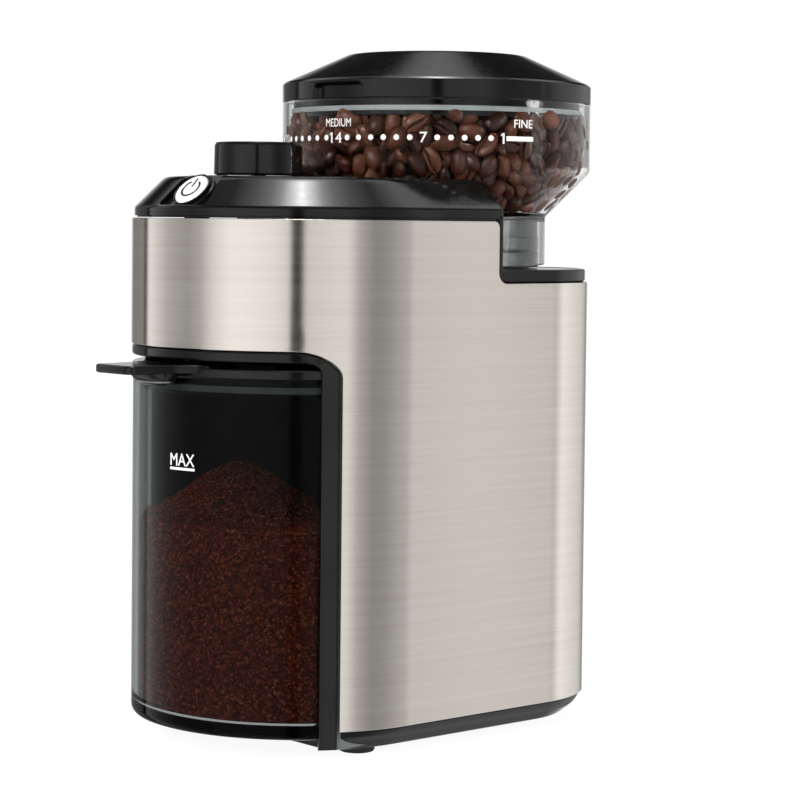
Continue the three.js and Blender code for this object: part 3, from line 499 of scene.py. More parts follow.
def mix_colors(tree, kind, factor, a, b):
    node = add_node(tree, "Mix", {}, data_type="RGBA", blend_type=kind)
    feed(tree, node.inputs["Factor"], factor)
    for socket, value in zip([i for i in node.inputs if i.type == "RGBA"], (a, b)):
        feed(tree, socket, value)
    return [o for o in node.outputs if o.type == "RGBA"][0]


def shaded(color, amount):
    return tuple(c * amount for c in color)


def gloss_black():
    paint = Paint("gloss_black", (0.003, 0.003, 0.003), 0.1)
    paint.set({
        "Specular IOR Level": 0.38,
        "Base Color": ramp(paint.tree, paint.noise(0.05, 2), [(0.3, 0.002), (0.7, 0.0045)]),
        "Roughness": ramp(paint.tree, paint.noise(0.4, 4), [(0.35, 0.07), (0.7, 0.13)]),
    })
    paint.bump(paint.noise(0.12, 1), 0.12, 0.05)
    return paint.material


def satin_black():
    paint = Paint("satin_black", (0.008, 0.008, 0.009), 0.4)
    grain = paint.noise(2.6, 4)
    tones = [(0.3, (0.006, 0.006, 0.007)), (0.7, (0.011, 0.011, 0.012))]
    paint.set({
        "Specular IOR Level": 0.35,
        "Base Color": ramp(paint.tree, paint.noise(0.08, 2), tones),
        "Roughness": ramp(paint.tree, grain, [(0.3, 0.34), (0.7, 0.5)]),
    })
    paint.bump(grain, 0.35, 0.06)
    return paint.material


def brushed_steel():
    """Sheet brushed round the body: streaks that are long sideways and fine upwards."""
    paint = Paint("brushed_steel", (0.86, 0.80, 0.73), 0.2, 1.0)
    tree = paint.tree
    fine = paint.noise(1.0, 5, (0.03, 0.03, 6.0), 0.7)
    broad = paint.noise(1.0, 3, (0.006, 0.006, 0.45), 0.6)
    both = add_node(tree, "Mix", {"Factor": 0.4, "A": fine, "B": broad}, data_type="FLOAT")
    streaks = both.outputs["Result"]
    tones = [(0.3, (0.78, 0.725, 0.655)), (0.5, (0.86, 0.805, 0.735)), (0.7, (0.93, 0.88, 0.815))]
    paint.set({
        "Base Color": ramp(tree, streaks, tones),
        "Roughness": ramp(tree, streaks, [(0.3, 0.16), (0.7, 0.25)]),
        "Anisotropic": 0.95,
        "Anisotropic Rotation": 0.25,
        "Tangent": add_node(tree, "Tangent", direction_type="RADIAL", axis="Z").outputs["Tangent"],
    })
    paint.bump(fine, 0.12, 0.02)
    return paint.material


def plain_metal(name, color, roughness, grain=1.5):
    """Machined or plated metal with faint marks."""
    paint = Paint(name, color, roughness, 1.0)
    marks = paint.noise(grain, 4)
    paint.set({
        "Base Color": ramp(paint.tree, marks, [(0.3, shaded(color, 0.8)), (0.65, color)]),
        "Roughness": ramp(paint.tree, marks, [(0.3, roughness * 0.8), (0.7, roughness * 1.3)]),
    })
    paint.bump(marks, 0.1, 0.02)
    return paint.material


def moulded(name, color, roughness, grain=1.8, relief=0.03):
    """Moulded plastic or rubber with a fine texture."""
    paint = Paint(name, color, roughness)
    speck = paint.noise(grain, 4)
    paint.set({
        "Base Color": ramp(paint.tree, paint.noise(0.1, 2), [(0.3, shaded(color, 0.88)), (0.7, color)]),
        "Roughness": ramp(paint.tree, speck, [(0.3, roughness * 0.9), (0.7, roughness * 1.1)]),
    })
    paint.bump(speck, 0.3, relief)
    return paint.material


def clear_plastic(name, color, haze, index):
    """Clear or tinted moulding that light goes through, with a slightly hazy gloss."""
    paint = Paint(name, color, haze)
    paint.set({
        "Transmission Weight": 1.0,
        "IOR": index,
        "Specular Tint": (0.3, 0.3, 0.3),
        "Base Color": ramp(paint.tree, paint.noise(0.03, 2), [(0.3, shaded(color, 0.97)), (0.7, color)]),
    })
    return paint.material


BEAN_BROWNS_AND_SLIT_SHADE = [  # by tone: the darkest stops are painted shade at the bottom of the slit, the rest are browns up to the palest bean
    (0.0, (0.004, 0.001, 0.0006)),
    (0.2, (0.03, 0.0075, 0.0032)),
    (0.48, (0.068, 0.0185, 0.0088)),
    (0.76, (0.112, 0.034, 0.017)),
    (1.0, (0.175, 0.064, 0.034)),
]
COFFEE_BROWNS = [
    (0.0, (0.08, 0.005, 0.001)),
    (0.5, (0.2, 0.015, 0.002)),
    (0.85, (0.4, 0.045, 0.008)),
    (1.0, (0.7, 0.17, 0.05)),
]


def bean_coat():
    """Roasted beans: each has its own brown, darkened in its slit as painted shade, with a fine wrinkled
    skin.
    """
    paint = Paint("roasted_bean", (0.1, 0.04, 0.02), 0.36)
    tree = paint.tree
    tone = add_node(tree, "Attribute", attribute_name="tone").outputs["Fac"]
    speckle = ramp(tree, paint.noise(1.4, 4), [(0.3, 0.7), (0.7, 1.25)])
    browns = mix_colors(tree, "MULTIPLY", 1.0, ramp(tree, tone, BEAN_BROWNS_AND_SLIT_SHADE), speckle)
    paint.set({"Base Color": browns, "Specular IOR Level": 0.3})
    paint.bump(paint.noise(0.9, 5), 0.35, 0.15)
    return paint.material


def ground_coffee(name, painted_light_gain):
    """Ground coffee: red-brown grains, made paler by a factor as painted light where they are seen through
    the dark plastic.
    """
    paint = Paint(name, (0.05, 0.015, 0.008), 0.85)
    tree = paint.tree
    grains = add_node(tree, "TexVoronoi", {"Vector": paint.place(1.3), "Scale": 1.0})
    pick = add_node(tree, "SeparateColor", {"Color": grains.outputs["Color"]}).outputs["Red"]
    browns = [(place, [min(1.0, painted_light_gain * c) for c in color]) for place, color in COFFEE_BROWNS]
    paint.set({"Base Color": ramp(tree, pick, browns), "Specular IOR Level": 0.2})
    paint.bump(grains.outputs["Distance"], 0.8, 0.35)
    return paint.material


MATERIALS = {
    "gloss_black": gloss_black(),
    "black_plastic": satin_black(),
    "brushed_steel": brushed_steel(),
    "foot_rubber": moulded("foot_rubber", (0.012, 0.012, 0.012), 0.8),
    "zinc_steel": plain_metal("zinc_steel", (0.52, 0.53, 0.54), 0.35),
    "white_plastic": moulded("white_plastic", (0.74, 0.74, 0.74), 0.38, 3.0),
    "circuit_board": moulded("circuit_board", (0.02, 0.12, 0.04), 0.45),
    "copper_winding": plain_metal("copper_winding", (0.60, 0.24, 0.10), 0.4, 2.5),
    "brass": plain_metal("brass", (0.62, 0.44, 0.18), 0.3),
    "nylon": moulded("nylon", (0.76, 0.72, 0.60), 0.5),
    "burr_steel": plain_metal("burr_steel", (0.33, 0.33, 0.34), 0.3, 2.5),
    "grey_plastic": moulded("grey_plastic", (0.035, 0.042, 0.037), 0.4),
    "smoked_clear": clear_plastic("smoked_clear", (0.265, 0.285, 0.28), 0.03, 1.29),
    "clear_plastic": clear_plastic("clear_plastic", (0.92, 0.93, 0.925), 0.02, 1.2),
    "silicone": moulded("silicone", (0.32, 0.35, 0.35), 0.6),
}
GLOSS = MATERIALS["gloss_black"]
PRINT_WHITE = moulded("print_white", (0.85, 0.85, 0.84), 0.5, 4.0)
PRINT_BLACK = moulded("print_black", (0.01, 0.01, 0.01), 0.5, 4.0)
BEAN = bean_coat()
# painted shade: a near-black body in the middle of the beans stands in for the shade deep in the heap
PAINTED_BEAN_SHADE = moulded("painted_bean_shade", (0.02, 0.008, 0.005), 0.8, 0.4)
BAY_BLACK = moulded("bay_black", (0.13, 0.145, 0.14), 0.45, 0.3)
# painted light: the coffee's browns are brightened, least for the heap and most for the grains against the
# container's wall
GROUNDS = ground_coffee("ground_coffee", 1.15)
GRAINS = ground_coffee("coffee_grains_painted_lighter", 2.0)
RIM_GRAINS = ground_coffee("coffee_rim_grains_painted_lighter", 3.6)


def dress_cad_nodes():
    """Gives every CAD node the finished material of its slot."""
    for row in frame["record"]["subparts"]:
        node = frame["nodes"][row["node"]]
        material = MATERIALS[row["material_slot"]]
        if not node.material_slots:
            node.data.materials.append(material)
        for place in node.material_slots:
            place.material = material


# ---------------------------------------------------------------- camera, lights, floor
LENS = 111.0
EYE = Vector((787.3, -659.05, 209.0)) * MM
LOOK = Vector((-0.7518, 0.6593, 0)).normalized()
PITCH = math.radians(2.297)
ROLL = 0.0105
SHIFT = -0.1


def add_camera():
    data = bpy.data.cameras.new("camera")
    data.lens = LENS
    data.sensor_width = 36
    data.shift_y = SHIFT
    data.clip_start = 0.05
    data.clip_end = 50
    camera = bpy.data.objects.new("camera", data)
    bpy.context.scene.collection.objects.link(camera)
    forward = LOOK * math.cos(PITCH) - Vector((0, 0, 1)) * math.sin(PITCH)
    level_right = Vector((LOOK.y, -LOOK.x, 0))
    level_up = level_right.cross(forward)
    right = level_right * math.cos(ROLL) + level_up * math.sin(ROLL)
    up = level_up * math.cos(ROLL) - level_right * math.sin(ROLL)
    turn = Matrix((right, up, -forward)).transposed()
    camera.matrix_world = Matrix.Translation(EYE) @ turn.to_4x4()
    bpy.context.scene.camera = camera


# The studio all round, by the angle from the direction opposite the first view: (degrees, brightness).
STUDIO = [
    (-166, 0.65), (-158, 0.2), (-131, 0.25), (-129, 0.03), (-126, 0.03), (-123, 0.95), (-113, 0.72),
    (-99, 0.46), (-80, 0.34), (-69, 0.46), (-59, 0.78), (-47, 1.0), (-37, 1.0), (-17, 0.9), (-5.5, 0.76),
    (-3.5, 0.02), (2.5, 0.02), (5, 0.7), (22, 0.78), (34, 0.82), (42, 0.45), (53, 0.27), (63, 0.31),
    (73, 0.42), (82, 0.48), (84.4, 0.85), (87, 0.48), (100, 0.95), (120, 0.8), (142, 0.65), (160, 0.25),
    (169, 0.7),
]
# The same about 45 degrees up, where the hopper's lid looks, as shares of UPPER_STRENGTH.
UPPER = [
    (-180, 0.01), (-154, 0.01), (-144, 0.5), (-134, 0.5), (-124, 0.1), (-100, 0.06),
    (100, 0.06), (120, 0.2), (128, 0.65), (136, 0.65), (150, 0.01), (180, 0.01),
]
UPPER_STRENGTH = 2.0
# A panel still higher, straight opposite the first view.
HIGH_PANEL = [(-180, 0.9), (-164, 1.0), (-161, 0.0), (166, 0.0), (169, 1.0), (180, 0.9)]
# The light overhead, by how far a direction leans from upright, as shares of OVERHEAD_STRENGTH.
OVERHEAD = [(0.0, 1.0), (0.05, 0.6), (0.13, 0.22), (0.2, 0.11), (0.3, 0.055), (0.45, 0.006), (0.55, 0.0)]
OVERHEAD_STRENGTH = 28.0
STUDIO_HEADING = 41.25  # degrees from the world's -X to the studio's zero


def add_world():
    """Soft boxes and flags round the horizon, panels higher up, a light overhead, white for the camera."""
    world = bpy.data.worlds.new("studio")
    bpy.context.scene.world = world
    world.use_nodes = True
    tree = world.node_tree
    tree.nodes.clear()
    direction = add_node(tree, "TexCoord").outputs["Generated"]
    x, y, z = add_node(tree, "SeparateXYZ", {0: direction}).outputs
    turns = math_node(tree, "MULTIPLY", math_node(tree, "ARCTAN2", y, x), 1 / (2 * math.pi))
    around = math_node(tree, "FRACT", math_node(tree, "ADD", turns, 0.5 + STUDIO_HEADING / 360))

    def by_angle(stops):
        return ramp(tree, around, [(0.5 + degrees / 360, value) for degrees, value in stops])

    def by_height(*stops):
        return ramp(tree, z, stops)

    def times(a, b):
        return mix_colors(tree, "MULTIPLY", 1.0, a, b)

    level = by_angle(STUDIO)
    low_only = times(level, by_height((0.15, 1.0), (0.33, 0.05)))
    behind = by_angle([(-152, 1.0), (-146, 0.0), (146, 0.0), (152, 1.0)])
    horizon = mix_colors(tree, "MIX", behind, level, low_only)
    panels = times(by_angle(UPPER), (UPPER_STRENGTH,) * 3)
    faded = times(panels, by_height((0.86, 1.0), (0.93, 0.1)))
    walls = mix_colors(tree, "MIX", by_height((0.42, 0.0), (0.55, 1.0)), horizon, faded)
    high = by_height((0.67, 0.0), (0.71, 1.0), (0.86, 1.0), (0.92, 0.0))
    walls = mix_colors(tree, "ADD", 1.0, walls, times(by_angle(HIGH_PANEL), high))
    squares = [math_node(tree, "MULTIPLY", side, side) for side in (x, y)]
    lean = math_node(tree, "SQRT", math_node(tree, "ADD", *squares))
    overhead = times(ramp(tree, lean, OVERHEAD), (OVERHEAD_STRENGTH,) * 3)
    ceiling = times(overhead, by_height((0.5, 0.0), (0.7, 1.0)))
    everything = mix_colors(tree, "ADD", 1.0, walls, ceiling)
    studio = add_node(tree, "Background", {"Color": everything, "Strength": 1.0}).outputs[0]
    white = add_node(tree, "Background", {"Color": (1, 1, 1)}).outputs[0]
    seen = add_node(tree, "LightPath").outputs
    bounces = math_node(tree, "ADD", seen["Diffuse Depth"], seen["Glossy Depth"])
    first_look = math_node(tree, "LESS_THAN", bounces, 0.5)
    both = add_node(tree, "MixShader", {"Fac": first_look, 1: studio, 2: white}).outputs[0]
    add_node(tree, "OutputWorld", {"Surface": both})


LIGHTS = {  # place, target and size in metres, then watts
    "key_side": ((0.9, 0.75, 0.45), (0.05, 0, 0.12), (0.25, 0.7), 10),
    "fill_front": ((0.25, -1.1, 0.6), (0, 0, 0.12), (0.5, 0.5), 14),
}


def add_lights():
    """Soft rectangular lights that don't show in glossy surfaces."""
    for name, (place, target, size, power) in LIGHTS.items():
        data = bpy.data.lights.new(name, "AREA")
        data.shape = "RECTANGLE"
        data.size, data.size_y = size
        data.energy = power
        light = bpy.data.objects.new(name, data)
        bpy.context.scene.collection.objects.link(light)
        light.location = place
        light.rotation_euler = (Vector(target) - Vector(place)).to_track_quat("-Z", "Y").to_euler()
        light.visible_glossy = False


def add_floor():
    """A floor far larger than the object that glows nearly white."""
    half = 4.0  # metres
    mesh = bpy.data.meshes.new("floor")
    mesh.from_pydata([(*p, 0) for p in rectangle(-half, half, -half, half)], [], [(0, 1, 2, 3)])
    floor = bpy.data.objects.new("floor", mesh)
    bpy.context.scene.collection.objects.link(floor)
    paint = Paint("floor_paint", (0.12, 0.12, 0.12), 0.9)
    paint.set({"Emission Color": (1, 1, 1), "Emission Strength": 0.93})
    mesh.materials.append(paint.material)
    floor.visible_glossy = False


add_camera()
add_world()
add_lights()
add_floor()
bpy.context.scene.view_settings.view_transform = "Standard"
dress_cad_nodes()


# ---------------------------------------------------------------- casing
STEEL_THICK = 1.0
COVER_HALF = COVER_HIGH[0] - 4 + GAP  # half width of the gap in the steel at the back
NOTCH_S = FRONT_ARC + NOTCH_Y - ARC_Y
REAR_EDGE_S = FRONT_ARC + SIDE_LENGTH + REAR_CORNER * math.acos((COVER_HALF - HALF) / REAR_CORNER + 1)
BEND_STEP = 1.6
SKIN_GRID = (BEND_STEP, 7.0)  # spacing of the points that let a face follow the body's skin
VENTS = 8
VENT_FIRST = 60.0  # lower edge of the lowest vent
VENT_PITCH = 7.0
VENT_HALF = 20.0
VENT_HIGH = 2.6
SHELF_RADIUS = 50.0


def doorway(half, top, corner, bottom):
    """The bay's doorway from its lower left end to its lower right end, unrolled onto the body's skin."""
    path = fillet([(-half, bottom), (-half, top, corner), (half, top, corner), (half, bottom)], False, 10)
    return np.stack([along(path[:, 0]), path[:, 1]], 1)


def steel_form():
    """The steel sheet: round the front and both sides, cut out for the bay and stepped at the hopper."""
    inner, outer, tiny = 4.5, 2.7, 0.8
    right = [
        (REAR_EDGE_S, STEEL_BOTTOM, tiny),
        (REAR_EDGE_S, NOTCH_FLOOR, tiny),
        (NOTCH_S, NOTCH_FLOOR, inner),
        (NOTCH_S, STEEL_TOP, outer),
    ]
    left = [(-s, height, radius) for s, height, radius in reversed(right)]
    door = doorway(BAY_HALF, BAY_TOP, BAY_CORNER, STEEL_BOTTOM)
    loop = split_long(np.concatenate([door, fillet([*right, *left], True, 8)]), BEND_STEP)
    return slab([loop], edge_profile(STEEL_THICK, 0.3, 0.2), wrap, SKIN_GRID)


def rear_cover_form():
    """The rear cover with its vents, screw holes and the hole for the gland."""
    half = COVER_HALF - GAP
    loops = [split_long(rectangle(-half, half, STEEL_BOTTOM, NOTCH_FLOOR, 1, 6), BEND_STEP)]
    for i in range(VENTS):
        low = VENT_FIRST + VENT_PITCH * i
        vent = rectangle(-VENT_HALF, VENT_HALF, low, low + VENT_HIGH, VENT_HIGH / 2 - 0.05, 5)
        loops.append(vent[::-1])
    loops.append(round_hole(0, GLAND_Z, 6 + GAP, 32))
    loops += [round_hole(x, z, 1.8, 20) for x, z in REAR_SCREWS]
    return slab(loops, edge_profile(2.4, 0.5, 0.2, 4), wrap_rear, SKIN_GRID)


def base_form():
    """The base pan behind the bay, its edge drawn in at the foot, and the shelf under the container."""

    def ring(amount):
        radius = HALF - amount
        start = math.degrees(math.asin((BASE_FRONT - ARC_Y) / radius))
        right = arc(0, ARC_Y, radius, start, 0, 16)
        return np.concatenate([right, *rear_corners(amount), mirrored(right)])

    low, high = BASE_LOW[2], BASE_HIGH[2]
    pan = shell(ring, [
        (9.2, low), (8.6, low), (8.0, low + 0.35), (3.2, low + 4.2), (1.9, low + 6.0), (1.35, low + 7.3),
        (1.1, high - 0.4), (1.3, high), (2.0, high), (2.4, high - 0.5), (2.6, high - 3), (9, high - 3),
    ])
    top, back = POT_LOW[2] - GAP, BASE_FRONT + 2
    front = arc(0, ARC_Y, SHELF_RADIUS, 180, 360, 72)
    loop = np.concatenate([front, [(SHELF_RADIUS, back), (-SHELF_RADIUS, back)]])
    loop = loop[loop[:, 1] <= back]
    return pan.join(slab([loop], edge_profile(top - FRAME_FOOT, 1.0, 1.6), raised(top)))


def foot_form(node):
    """A rubber foot with a shallow groove under it."""
    low, high = span(node)
    radius = (high[0] - low[0]) / 2
    tall = high[2] - low[2]
    profile = fillet([
        (0, 0), (2.4, 0), (2.8, 0.5), (4.4, 0.5), (4.8, 0),
        (radius - 0.7, 0, 0.5), (radius, tall), (0, tall),
    ], False, 4)
    return turned(profile, (low[:2] + high[:2]) / 2, 48)


# ---------------------------------------------------------------- deck
DECK_INSET = 1.0
DECK_EDGE = 0.7  # rounding of the deck's outer edge
RECESS = 49.5  # radius of the well round the hopper's neck
RECESS_START = 213.0
LEDGE_BOTTOM = NOTCH_FLOOR + GAP
LEDGE_HOLE = RING_SLEEVE + 0.9
LIP_BOTTOM = STEEL_TOP + GAP
LIP_STEP = LIP_BOTTOM + 0.6
BUTTON_TURN = math.radians(5.7)  # round the front, to the right of its middle
BUTTON_OUT = HALF - 10.25  # middle of the pocket's floor, from the round front's axis
BUTTON = Vector((BUTTON_OUT * math.sin(BUTTON_TURN), ARC_Y - BUTTON_OUT * math.cos(BUTTON_TURN), 218.74))
SLOPE_TURN = Matrix.Rotation(BUTTON_TURN, 4, "Z") @ Matrix.Rotation(math.pi / 4, 4, "X")
SLOPE = Matrix.Translation(BUTTON) @ SLOPE_TURN
SLOPE_NORMAL = np.array(SLOPE_TURN.col[2][:3])
COLLAR_BORE = 7.8
COLLAR_BARREL = 8.6
COLLAR_FLANGE = 9.3
BUTTON_RADIUS = 7.5
BUTTON_CROWN = 3.2  # top of the button above the pocket's floor
BUTTON_WELL = 6.0  # depth of the button's hole below that floor
LIP_GROOVE = 0.9  # shadow gap between the deck's lip and the steel


def soft_min(a, b, reach):
    """The lower of two heights, rounded where they cross."""
    near = np.maximum(reach - np.abs(a - b), 0)
    return np.minimum(a, b) - near**2 / (4 * reach)


def deck_height(x, y):
    """The deck's top: flat, sloped all round its edge, and hollowed under the hopper's cone."""
    front = HALF - np.hypot(x, y - ARC_Y)
    depth = np.where(y < ARC_Y, front, HALF - np.abs(x))
    slope = LIP_TOP + depth - DECK_INSET
    hollow = RECESS_START + np.hypot(x, y - HOPPER_Y) - RECESS
    top = soft_min(slope, np.full_like(slope, DECK_TOP), 1.6)
    return soft_min(top, hollow, 1.2)


def turn_at(radius, y):
    """The angle, in degrees, at which a circle round the hopper's axis reaches y on the right."""
    return math.degrees(math.asin((y - HOPPER_Y) / radius))


def deck_outline():
    """The deck seen from above: round front, straight back, and the well's arc between its back edges."""
    radius = HALF - DECK_INSET
    turn = turn_at(RECESS, DECK_BACK_Y)
    reach = RECESS * math.cos(math.radians(turn))
    right = fillet([(radius, ARC_Y), (radius, DECK_BACK_Y, 1.2), (reach, DECK_BACK_Y)], False, 5)[1:-1]
    well = arc(0, HOPPER_Y, RECESS, turn, -180 - turn, 110)
    return np.concatenate([arc(0, ARC_Y, radius, 180, 360, 150), right, well, mirrored(right)])


def pocket_outline():
    """The button's pocket on the sloping front, in the slope's own plane, anticlockwise."""
    top = (DECK_TOP - BUTTON.z) * math.sqrt(2)
    low, low_half, high_half = -9.1, 14.2, 9.5
    corners = [(-low_half, low, 2.2), (low_half, low, 2.2), (high_half, top), (-high_half, top)]
    return split_long(fillet(corners, True, 6), 0.9)


def on_slope(points, height=0.0):
    """Puts flat points on the slope's plane."""
    return np.array([SLOPE @ Vector((u, v, height)) for u, v in points])


def raise_to_deck(points):
    """Where lines at right angles to the slope, through flat points on it, leave the deck."""
    low = np.full(len(points), -0.5)
    high = np.full(len(points), 9.0)
    base = on_slope(points)
    for _ in range(30):
        middle = (low + high) / 2
        at = base + middle[:, None] * SLOPE_NORMAL
        below = at[:, 2] < deck_height(at[:, 0], at[:, 1])
        low = np.where(below, middle, low)
        high = np.where(below, high, middle)
    return base + np.maximum(low, 0.0)[:, None] * SLOPE_NORMAL


def deck_form():
    """The deck's skin: top, lip, well, and the pocket with its floor."""
    form = Form()
    outline = deck_outline()
    edge = edge_profile(DECK_EDGE * 2, DECK_EDGE, DECK_EDGE)
    rings = []
    for amount, _ in edge[-7:][::-1]:
        points = inset(outline, amount)
        drop = DECK_EDGE - math.sqrt(max(0, DECK_EDGE**2 - max(0, DECK_EDGE - amount) ** 2))
        rings.append(at_height(points, deck_height(*points.T) - drop))
    lip = ((0, LIP_STEP + 0.15), (0.15, LIP_STEP), (LIP_GROOVE, LIP_STEP), (LIP_GROOVE, LIP_BOTTOM))
    form.skin([*rings, *(at_height(inset(outline, amount), height) for amount, height in lip)])

    pocket = pocket_outline()
    rim = raise_to_deck(inset(pocket, -0.35))
    plan = inset(outline, edge[-1][0])
    points, faces = fill([plan, rim[::-1, :2]], (0.85, 0.85))
    top = at_height(points, deck_height(*points.T))
    top[len(plan):len(plan) + len(rim)] = rim[::-1]
    form.add(top, faces)

    floor = on_slope(pocket)
    wall_top = np.maximum((raise_to_deck(pocket) - floor) @ SLOPE_NORMAL - 0.35, 0)
    form.skin([rim, floor + wall_top[:, None] * SLOPE_NORMAL, floor])
    hole = round_hole(0, 0, COLLAR_BARREL + GAP, 64)
    form.cover([pocket, hole], on_slope, (2.5, 2.5))
    form.skin([on_slope(hole), on_slope(hole, -BUTTON_WELL)])
    form.cover([inset(outline, LIP_GROOVE)], lambda p: at_height(p, LIP_BOTTOM))
    return form.cover([hole[::-1]], lambda p: on_slope(p, -BUTTON_WELL))


def trim_form():
    """The black edging in the steel's step, on both sides: beside the neck and along the ledge."""
    front = NOTCH_S + GAP
    back = FRONT_ARC + DECK_BACK_Y - ARC_Y
    rear = HALF_GIRTH - 0.01
    top = LIP_TOP - 1.5
    loop = fillet([
        (front, LEDGE_BOTTOM, 4.2), (rear, LEDGE_BOTTOM), (rear, LEDGE_TOP),
        (back, LEDGE_TOP, 1.6), (back, top), (front, top),
    ], True, 7)
    loops = [split_long(loop, BEND_STEP)]
    right = slab(loops, edge_profile(3.0, 0.9, 0.3), lambda s, v, h: wrap(s, v, h - DECK_INSET), SKIN_GRID)
    return Form().join(right).join(right, Matrix.Diagonal((-1, 1, 1)))


def ledge_form():
    """The ledge's flat top round the adjuster, and the well's wall in front of it."""
    amount = DECK_INSET + 2.6
    side = HALF - amount
    start = NOTCH_Y + 1
    turn = turn_at(LEDGE_HOLE, start)
    outline = np.concatenate([
        [(side, start)],
        *rear_corners(amount),
        [(-side, start)],
        arc(0, HOPPER_Y, LEDGE_HOLE, -180 - turn, turn, 90),
    ])
    form = slab([outline], edge_profile(4.4, 0.2, 0.2, 2), raised(LEDGE_TOP - 0.15))
    outer = RECESS + 2.0
    outer_turn, inner_turn = (turn_at(radius, DECK_BACK_Y) for radius in (outer, RECESS))
    wall = np.concatenate([
        arc(0, HOPPER_Y, outer, -180 - outer_turn, outer_turn, 90),
        [(side, DECK_BACK_Y - 3), (side, DECK_BACK_Y)],
        arc(0, HOPPER_Y, RECESS, inner_turn, -180 - inner_turn, 110),
        [(-side, DECK_BACK_Y), (-side, DECK_BACK_Y - 3)],
    ])
    return form.join(plate(wall, LEDGE_TOP - 3, LIP_STEP))


# ---------------------------------------------------------------- button, knob
KNOB_CENTRE = (KNOB_LOW[:2] + KNOB_HIGH[:2]) / 2
SIGN_THICK = 0.1


def bezel_form():
    """The thin collar round the button, with a low flange on the pocket's floor."""
    bore, barrel, flange = COLLAR_BORE, COLLAR_BARREL, COLLAR_FLANGE
    profile = fillet([
        (bore, -3, 0.1), (barrel, -3, 0.1), (barrel, GAP), (flange, GAP, 0.15), (flange, 0.85, 0.25),
        (bore + 0.55, 1.0, 0.3), (bore + 0.5, 2.9, 0.22), (bore, 2.9, 0.22),
    ], True, 4)
    return Form().join(turned(profile, (0, 0), 96, True), SLOPE)


def button_form():
    """The button's cap, with a softly rounded edge."""
    radius, top = BUTTON_RADIUS, BUTTON_CROWN
    profile = fillet([
        (0, top), (radius - 2.2, top - 0.03), (radius - 0.4, top - 0.15, 0.4), (radius, top - 0.7, 0.3),
        (radius, -2.5, 0.3), (0, -2.5),
    ], False, 6)
    return Form().join(turned(profile, (0, 0), 96), SLOPE)


def power_mark_form():
    """The power sign: an open ring with a bar in its gap."""
    radius, half, gap = 4.1, 0.425, 36

    def cap(angle, start):
        x, y = arc(0, 0, radius, angle, angle, 0)[0]
        return arc(x, y, half, start, start + 180, 6)[1:-1]

    ring = np.concatenate([
        arc(0, 0, radius + half, 90 + gap, 450 - gap, 60),
        cap(90 - gap, 90 - gap),
        arc(0, 0, radius - half, 450 - gap, 90 + gap, 60),
        cap(90 + gap, 270 + gap),
    ])
    form = Form()
    low = BUTTON_CROWN + 0.02
    for loop in (ring, rectangle(-half, half, 0.9, 5.4, 0.3)):
        form.join(plate(loop, low, low + SIGN_THICK), SLOPE)
    return form


def knob_form():
    """The knob: a drum with a faintly raised ring round its top."""
    radius = (KNOB_HIGH[0] - KNOB_LOW[0]) / 2
    low, high = KNOB_LOW[2], KNOB_HIGH[2]
    profile = fillet([
        (0, high - 0.25), (radius - 3.2, high - 0.2, 1), (radius - 2.4, high, 0.5),
        (radius - 0.9, high - 0.05, 0.8), (radius - 0.25, high - 1.3, 0.6),
        (radius, low + 0.6, 0.5), (radius - 1.2, low, 0.3), (0, low),
    ], False, 6)
    return turned(profile, KNOB_CENTRE, 144)


def knob_mark_form():
    """A short white line on the knob's top, towards the front."""
    low = KNOB_HIGH[2] - 0.2
    return plate(rectangle(-0.5, 0.5, -14.2, -8.5, 0.4) + KNOB_CENTRE, low, low + SIGN_THICK)


# ---------------------------------------------------------------- bay
BAY_WALL = 2.4


def bay_front_form():
    """The black frame round the doorway, bent to the body's front."""
    outer = doorway(BAY_HALF - GAP, BAY_TOP - GAP, BAY_CORNER - GAP, FRAME_FOOT)
    inner = doorway(BAY_INNER, BAY_CEILING, 4.0, FRAME_FOOT)
    loop = split_long(np.concatenate([outer[::-1], inner]), BEND_STEP)
    return slab([loop], edge_profile(3.0, 1.0, 0.3), lambda s, v, h: wrap(s, v, h - GAP), SKIN_GRID)


def bay_room_form():
    """The bay's side walls, ceiling and back, with the openings for the chute and the plunger."""
    form = Form()
    roof, side, half = BAY_CEILING + BAY_WALL, BAY_INNER + BAY_WALL, CHUTE_HALF + GAP
    back = BAY_BACK + 0.5

    def tunnel(u, v, h):
        front = ARC_Y - np.sqrt((HALF - 2.0) ** 2 - u**2)
        return np.stack([u, front + (back - front) * h, v], 1)

    inner = fillet([(BAY_INNER, FRAME_FOOT), (BAY_INNER, BAY_CEILING, 4), (half, BAY_CEILING)], False, 8)
    outer = fillet([(half, roof), (side, roof, 6.4), (side, FRAME_FOOT)], False, 8)
    right = split_long(np.concatenate([inner, outer]), 3.0)
    for loop in (right, right * (-1, 1)):
        form.join(plate(loop, 0, 1, tunnel))
    chute_back = CHUTE_FRONT + CHUTE_DEPTH + GAP
    for near, far in ((FRONT_Y + 2.2, CHUTE_FRONT - GAP), (chute_back, back)):
        form.join(plate(rectangle(-half, half, near, far), BAY_CEILING, roof))
    wall = fillet([
        (-BAY_INNER, FRAME_FOOT), (BAY_INNER, FRAME_FOOT),
        (BAY_INNER, BAY_CEILING, 4), (-BAY_INNER, BAY_CEILING, 4),
    ], True, 8)
    x, _, z = (PLUNGER_LOW + PLUNGER_HIGH) / 2
    loops = [wall, round_hole(x, z, 3, 32)]
    ends = [(0, BAY_BACK), (0, LINER_BACK)]
    return form.join(slab(loops, ends, lambda u, v, h: np.stack([u, h + 0 * u, v], 1)))


# ---------------------------------------------------------------- container
HANDLE_TOP = POT_LID_HIGH[2]
SWELL_TOP = HANDLE_TOP - 3.0
SWELL_Y = FRONT_Y - 4.0
SWELL_DROP = 5.9
SWELL_HALF_WIDTH = 13.0
SWELL_HALF_DEPTH = 7.6


